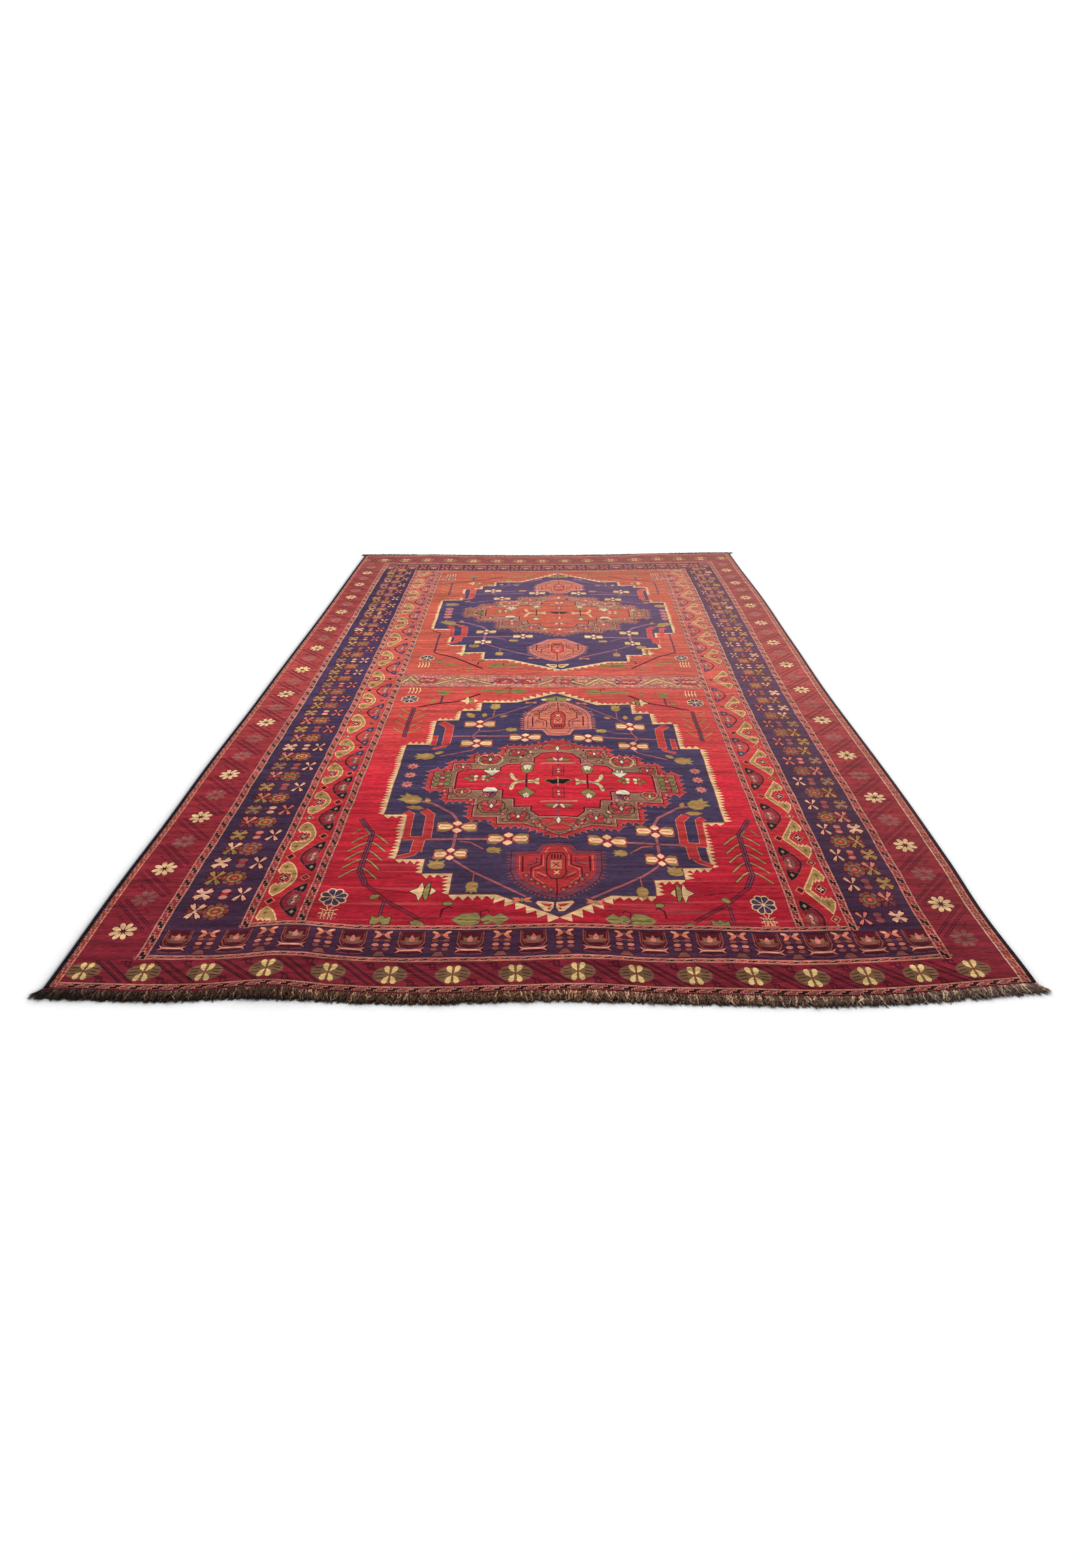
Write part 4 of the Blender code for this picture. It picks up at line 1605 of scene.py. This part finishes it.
class Nodes:
    """Short ways to add and join nodes of one material."""

    def __init__(self, name):
        self.material = bpy.data.materials.new(name)
        self.material.use_nodes = True
        self.tree = self.material.node_tree
        self.shader = self.tree.nodes["Principled BSDF"]

    def add(self, kind, inputs=None, **settings):
        node = self.tree.nodes.new(kind)
        for key, value in settings.items():
            setattr(node, key, value)
        for key, value in (inputs or {}).items():
            if isinstance(value, bpy.types.NodeSocket):
                self.tree.links.new(value, node.inputs[key])
            else:
                node.inputs[key].default_value = value
        return node

    def maths(self, operation, first, second):
        return self.add("ShaderNodeMath", {0: first, 1: second}, operation=operation).outputs[0]

    def place(self):
        """The place on the piece, and its three parts."""
        whole = self.add("ShaderNodeTexCoord").outputs["Object"]
        return whole, self.add("ShaderNodeSeparateXYZ", {0: whole}).outputs

    def mapped(self, value, span, to_low=0.0, to_high=1.0, clamp=True):
        """The value's span laid out between two other values."""
        limits = {"From Min": span[0], "From Max": span[1], "To Min": to_low, "To Max": to_high}
        return self.add("ShaderNodeMapRange", {"Value": value, **limits}, clamp=clamp).outputs[0]

    def ramp(self, value, colours, light=1.0):
        """Colours evenly spread over a value from 0 to 1."""
        ramp = self.add("ShaderNodeValToRGB", {"Fac": value})
        stops = ramp.color_ramp.elements
        last = len(colours) - 1
        for i, colour in enumerate(colours):
            stop = stops[0] if i == 0 else stops[-1] if i == last else stops.new(i / last)
            stop.position = i / last
            stop.color = lit(colour, light)
        return ramp.outputs[0]

    def noise(self, place, scale, detail=2.0):
        inputs = {"Vector": place, "Scale": scale, "Detail": detail}
        return self.add("ShaderNodeTexNoise", inputs).outputs[0]

    def stretched_noise(self, place, stretch, detail=2.0):
        stretched = self.add("ShaderNodeMapping", {"Vector": place, "Scale": stretch}).outputs[0]
        return self.noise(stretched, 1.0, detail)

    def mix(self, share, first, second, blend="MIX"):
        inputs = {0: share, 6: first, 7: second}
        return self.add("ShaderNodeMix", inputs, data_type="RGBA", blend_type=blend).outputs[2]

    def finished(self, colour, roughness, specular=0.5):
        self.tree.links.new(colour, self.shader.inputs["Base Color"])
        self.shader.inputs["Roughness"].default_value = roughness
        self.shader.inputs["Specular IOR Level"].default_value = specular
        return self.material


def yarn_material(name, colours):
    """Wool laid in weft rows: a slow change from end to end, partly dye and partly painted sheen that pales
    the far end, bands of it, and flecks.
    """
    nodes = Nodes("wool_" + name)
    place, axes = nodes.place()
    dye_and_painted_sheen = nodes.ramp(nodes.mapped(axes["Y"], (-LENGTH / 2, LENGTH / 2)), colours, WOOL_LIGHT)
    shades = []
    for scale, spread in WEAVE_NOISE:
        noise = nodes.stretched_noise(place, scale)
        shades.append(nodes.mapped(noise, NOISE_SPAN, 1 - spread, 1 + spread, clamp=False))
    shade = shades[0]
    for finer in shades[1:]:
        shade = nodes.maths("MULTIPLY", shade, finer)
    mixed = nodes.mix(1.0, dye_and_painted_sheen, shade, "MULTIPLY")
    # Painted sheen: the colour is mixed towards a pale one towards the far right corner, and the weft
    # streaks add to the same mix
    across = nodes.maths("MULTIPLY", axes["X"], PAINTED_SHEEN_ACROSS)
    far_right = nodes.maths("ADD", across, nodes.maths("MULTIPLY", axes["Y"], PAINTED_SHEEN_ALONG))
    painted_sheen = nodes.mapped(far_right, PAINTED_SHEEN_SPAN, to_high=PAINTED_SHEEN_SHARE)
    streak_share = FIELD_STREAK_SHARE if name == "crimson" else STREAK_SHARE
    streaks = nodes.stretched_noise(place, STREAK_NOISE, 3.0)
    streaks = nodes.mapped(streaks, STREAK_SPAN, to_high=streak_share)
    sheened_and_streaked = nodes.mix(nodes.maths("ADD", painted_sheen, streaks), mixed, lit(PAINTED_SHEEN_AND_STREAK_COLOUR, WOOL_LIGHT))
    rib = nodes.maths("SINE", nodes.maths("MULTIPLY", axes["Y"], 2 * math.pi / WEFT_PITCH), 0.0)
    height = nodes.maths("ADD", nodes.maths("MULTIPLY", rib, RIB_HEIGHT), shades[-1])
    bump = nodes.add("ShaderNodeBump", {"Strength": BUMP_STRENGTH, "Distance": BUMP_DEPTH, "Height": height})
    nodes.tree.links.new(bump.outputs[0], nodes.shader.inputs["Normal"])
    return nodes.finished(sheened_and_streaked, WOOL_ROUGHNESS, 0.06)


# Edges


def object_of(name, mesh):
    piece = bpy.data.objects.new(name, mesh)
    bpy.context.scene.collection.objects.link(piece)
    return piece


EDGING_TURNS = 900
EDGING_HEIGHT = 0.0056
EDGING_DIP = 0.82
# The wound yarn's section, outwards in widths and upwards in heights
EDGING_PROFILE = ((-0.5, 1.0), (0.3, 1.12), (0.85, 0.72), (0.95, 0.3), (0.75, 0.0), (-0.5, 0.0))


def edging_mesh(name, side, material):
    """Yarn wound round one long edge, a ridge for each turn."""
    rows = []
    outer = side * (WIDTH / 2 - EDGING_WIDTH) / MM
    rings = 2 * EDGING_TURNS + 1
    y = np.linspace(-HALF_ALONG, HALF_ALONG, rings)
    swell = np.where(np.arange(rings) % 2 == 0, 1.0, EDGING_DIP)
    for out, up in EDGING_PROFILE:
        line = laid(np.stack([np.full(rings, outer + side * out * EDGING_WIDTH / MM), y], axis=1))
        line[:, 2] += -THICKNESS + up * EDGING_HEIGHT * swell
        rows.append(line)
    vertices = np.array(rows).transpose(1, 0, 2).reshape(-1, 3)
    faces = tube_faces(0, rings, len(EDGING_PROFILE))
    mesh = mesh_of(name, vertices.tolist(), faces, [material], [0] * len(faces))
    tidy_normals(mesh)
    return mesh


def tidy_normals(mesh):
    work = bmesh.new()
    work.from_mesh(mesh)
    bmesh.ops.recalc_face_normals(work, faces=work.faces)
    work.to_mesh(mesh)
    work.free()


def tube(vertices, faces, path, radii, sides):
    """Adds a closed tube along a path, a ring at each of its points."""
    start = len(vertices)
    for k, (place, radius) in enumerate(zip(path, radii)):
        ahead = path[min(k + 1, len(path) - 1)] - path[max(k - 1, 0)]
        across = ahead.cross(Vector((0, 0, 1)))
        across = across.normalized() if across.length > 1e-9 else Vector((1, 0, 0))
        up = across.cross(ahead).normalized()
        for i in range(sides):
            turn = 2 * math.pi * i / sides
            vertices.append(place + radius * (math.cos(turn) * across + math.sin(turn) * up))
    faces += tube_faces(start, len(path), sides)


def tube_faces(start, rings, sides):
    """The faces of a closed tube whose corners stand ring after ring."""
    faces = []
    for k in range(rings - 1):
        low, high = start + k * sides, start + (k + 1) * sides
        for i in range(sides):
            j = (i + 1) % sides
            faces.append((low + i, low + j, high + j, high + i))
    faces.append(tuple(start + i for i in reversed(range(sides))))
    faces.append(tuple(start + (rings - 1) * sides + i for i in range(sides)))
    return faces


HALF_WIDTH = WIDTH / 2 / MM
FRINGE_REACH = 0.026
CORD_STEPS = 600
CORD_TWIST = 1.5
CORD_SWING = (0.0011, 0.0009)
CORD_SUNK = 0.0019
CORD_RADIUS = 0.0017
LOCK_PARTS = 5
LOCK_TAPER = (0.8, 1.0, 1.0, 0.9, 0.7, 0.3)
# The corner locks lean outwards, at most this far, in millimetres, over this stretch
CORNER_FLARE = 20
CORNER_STRETCH = 90
# How soon the locks come down from a wave to the floor
FALL = 1.35
WISP_PARTS = 3
WISP_RADII = (0.0004, 0.00045, 0.0004, 0.00022)
LEAST_HEIGHT = 0.0008
FAIR_SHARE = 0.4


def lock_path(draw, x, root_line, end):
    """A curly lock of warp ends, from the cord out over the floor."""
    root = laid([[x, root_line]])[0]
    to_corner = HALF_WIDTH - abs(x)
    flare = math.copysign(CORNER_FLARE * max(0.0, 1 - to_corner / CORNER_STRETCH) ** 2, x)
    length = FRINGE_REACH * draw.uniform(0.6, 1.12)
    sway = draw.uniform(-8, 8) + flare
    curl = draw.uniform(-4.2, 4.2)
    phase = draw.uniform(0, 2 * math.pi)
    top = draw.uniform(0.0, 0.0036)
    swell = draw.uniform(0.0, 0.0022)
    path = []
    for k in range(LOCK_PARTS + 1):
        t = k / LOCK_PARTS
        low = (root[2] - THICKNESS) * max(0.0, 1 - FALL * t)
        wave = curl * math.sin(3.6 * t * math.pi + phase) * min(1.0, 2 * t)
        x_at = root[0] + (sway * t**1.5 + wave) * MM
        z_at = low + 0.0010 + top * (0.75 - 0.2 * t) + swell * math.sin(math.pi * t)
        path.append(Vector((x_at, root[1] + end * length * t, z_at)))
    return path


def wisp_path(draw, x, root_line, end):
    """A loose fibre standing off the locks."""
    root = laid([[x, root_line]])[0]
    start = FRINGE_REACH * draw.uniform(0.05, 0.75)
    low = (root[2] - THICKNESS) * max(0.0, 1 - FALL * start / FRINGE_REACH)
    place = Vector((root[0], root[1] + end * start, low + draw.uniform(0.002, 0.0058)))
    turn = draw.gauss(0, 0.9)
    length = draw.uniform(0.007, 0.016)
    climb = draw.uniform(-0.2, 0.45)
    path = [place]
    for k in range(WISP_PARTS):
        turn += draw.uniform(-0.5, 0.5)
        step = Vector((math.sin(turn), end * math.cos(turn), climb - 0.3 * k)) * (length / WISP_PARTS)
        place = place + step
        place.z = max(place.z, LEAST_HEIGHT)
        path.append(place)
    return path


def fringe_mesh(name, end, locks, wisps, materials, seed):
    """The twined cord at the cloth's end and the woolly warp ends beyond it."""
    draw = random.Random(seed)
    root_line = end * (LENGTH / 2 - 0.5 * STRIP_DEPTH) / MM
    vertices, faces, numbers = [], [], []
    x = np.linspace(-HALF_WIDTH + 1, HALF_WIDTH - 1, CORD_STEPS + 1)
    base = laid(np.stack([x, np.full(len(x), root_line)], axis=1)) - np.array([0, 0, CORD_SUNK])
    for strand in range(2):
        path = []
        for k, place in enumerate(base):
            turn = math.pi * k / CORD_TWIST + math.pi * strand
            swing = Vector((0, CORD_SWING[0] * math.cos(turn), CORD_SWING[1] * math.sin(turn)))
            path.append(Vector(place) + swing)
        tube(vertices, faces, path, [CORD_RADIUS] * len(path), 5)
    numbers += [1] * len(faces)
    for i in range(locks):
        x = (2 * (i + 0.5) / locks - 1) * (HALF_WIDTH - 1.5) + draw.uniform(-1.6, 1.6)
        path = lock_path(draw, x, root_line, end)
        thick = draw.uniform(0.0011, 0.0022)
        tube(vertices, faces, path, [thick * share for share in LOCK_TAPER], 5)
        numbers += [2 if draw.random() < FAIR_SHARE else 0] * (len(faces) - len(numbers))
    for i in range(wisps):
        x = draw.uniform(-1, 1) * (HALF_WIDTH - 3)
        tube(vertices, faces, wisp_path(draw, x, root_line, end), WISP_RADII, 3)
    numbers += [0] * (len(faces) - len(numbers))
    return mesh_of(name, [tuple(v) for v in vertices], faces, materials, numbers)


FLECK_SCALE = 150.0
FLECK_SPAN = (0.34, 0.66)
# The locks are darker near the floor, a painted shade, over this span of heights
PAINTED_SHADE_SPAN = (0.001, 0.007)


def fringe_material(name, colours):
    """Brown wool, darker at the left corner and greyer to the right."""
    nodes = Nodes(name)
    place, axes = nodes.place()
    wool = nodes.ramp(nodes.mapped(axes["X"], (-1.0, 1.0)), colours)
    flecks = nodes.mapped(nodes.noise(place, FLECK_SCALE), FLECK_SPAN, 0.4, 1.5)
    # Painted shade: the locks darken towards the floor and lighten at their tops
    shade = nodes.maths("MULTIPLY", flecks, nodes.mapped(axes["Z"], PAINTED_SHADE_SPAN, 0.24, 1.15))
    return nodes.finished(nodes.mix(1.0, wool, shade, "MULTIPLY"), WOOL_ROUGHNESS, 0.1)


# Stage


CAMERA_PLACE = (0.0215, -2.8996, 1.1924)
CAMERA_DOWN = 29.773
CAMERA_YAW = -0.857
CAMERA_ROLL = -0.307
LENS = 19.17

ROOM_LIGHT = 0.82
ROOM_SEEN = 1.1
SUN_STRENGTH = 1.7
SUN_WIDTH = 24
SUN_FROM = (-0.5, 1.2, 0.85)
FLOOR_WHITE = 0.95
FLOOR_HALF = 30.0
FLOOR_ROUGHNESS = 0.9
# Shade on the floor beside the rug, deeper on its left
SHADE_REACH = 0.08
LEFT_SHADE = 10.0
RIGHT_SHADE = 1.8


def camera():
    data = bpy.data.cameras.new("camera")
    data.lens = LENS
    data.sensor_width = 36
    data.clip_end = 100
    piece = bpy.data.objects.new("camera", data)
    yaw, down, roll = (math.radians(v) for v in (CAMERA_YAW, CAMERA_DOWN, CAMERA_ROLL))
    forward = Vector((math.sin(yaw) * math.cos(down), math.cos(yaw) * math.cos(down), -math.sin(down)))
    right = Vector((math.cos(yaw), -math.sin(yaw), 0))
    up = right.cross(forward)
    level_right = math.cos(roll) * right + math.sin(roll) * up
    level_up = math.cos(roll) * up - math.sin(roll) * right
    turn = Matrix((level_right, level_up, -forward)).transposed()
    piece.matrix_world = Matrix.Translation(CAMERA_PLACE) @ turn.to_4x4()
    bpy.context.scene.collection.objects.link(piece)
    bpy.context.scene.camera = piece


def floor():
    nodes = Nodes("floor_white")
    open_sky = nodes.add("ShaderNodeAmbientOcclusion", {"Distance": SHADE_REACH}).outputs["AO"]
    depth = nodes.mapped(nodes.place()[1]["X"], (-1.0, 1.0), LEFT_SHADE, RIGHT_SHADE)
    shade = nodes.maths("MULTIPLY", nodes.maths("POWER", open_sky, depth), FLOOR_WHITE)
    white = nodes.finished(shade, FLOOR_ROUGHNESS)
    corners = [(x, y, 0) for x, y in box(-FLOOR_HALF, -FLOOR_HALF, FLOOR_HALF, FLOOR_HALF)]
    object_of("floor", mesh_of("floor", corners, [(0, 1, 2, 3)], [white], [0]))


def lights():
    """A white room all round, seen a little brighter than it shines, and one wide soft sun."""
    world = bpy.data.worlds.new("studio")
    world.use_nodes = True
    tree = world.node_tree
    background = tree.nodes["Background"]
    background.inputs["Color"].default_value = (1, 1, 1, 1)
    seen = tree.nodes.new("ShaderNodeLightPath").outputs["Is Camera Ray"]
    strength = tree.nodes.new("ShaderNodeMapRange")
    strength.inputs["To Min"].default_value = ROOM_LIGHT
    strength.inputs["To Max"].default_value = ROOM_SEEN
    tree.links.new(seen, strength.inputs["Value"])
    tree.links.new(strength.outputs[0], background.inputs["Strength"])
    bpy.context.scene.world = world
    data = bpy.data.lights.new("soft_sun", "SUN")
    data.energy = SUN_STRENGTH
    data.angle = math.radians(SUN_WIDTH)
    piece = bpy.data.objects.new("soft_sun", data)
    piece.rotation_euler = (-Vector(SUN_FROM)).to_track_quat("-Z", "Y").to_euler()
    bpy.context.scene.collection.objects.link(piece)
    bpy.context.scene.view_settings.view_transform = "Standard"


EDGING_YARN = ((26, 22, 34), (34, 32, 50), (44, 44, 60))
BROWN_WOOL = ((50, 38, 34), (112, 78, 60), (110, 92, 82))
FAIR_WOOL = ((92, 72, 60), (186, 140, 108), (176, 150, 130))
EDGINGS = (("left_edging", "selvedge_left", -1), ("right_edging", "selvedge_right", 1))
# Name, node, end, locks, loose fibres, the cord's yarn and the seed of each fringe
FRINGES = (
    ("near_fringe", "fringe_near", -1, 1150, 3000, "border_red", 21),
    ("far_fringe", "fringe_far", 1, 1200, 2400, "olive", 22),
)


def main():
    camera()
    floor()
    lights()
    wools = {name: yarn_material(name, colours) for name, colours in YARNS.items()}
    cloth = object_of("kilim", cloth_mesh(wools))
    pieces = [(cloth, "kilim_cloth", "woven_wool")]
    edging_wool = yarn_material("edging", EDGING_YARN)
    brown = fringe_material("fringe_wool", BROWN_WOOL)
    fair = fringe_material("fringe_fair", FAIR_WOOL)
    for name, node, side in EDGINGS:
        pieces.append((object_of(name, edging_mesh(name, side, edging_wool)), node, "edging_yarn"))
    for name, node, end, locks, wisps, cord_yarn, seed in FRINGES:
        mesh = fringe_mesh(name, end, locks, wisps, (brown, wools[cord_yarn], fair), seed)
        pieces.append((object_of(name, mesh), node, "fringe_wool"))
    for piece, node, slot in pieces:
        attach(piece, "root")
        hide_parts(node)


main()
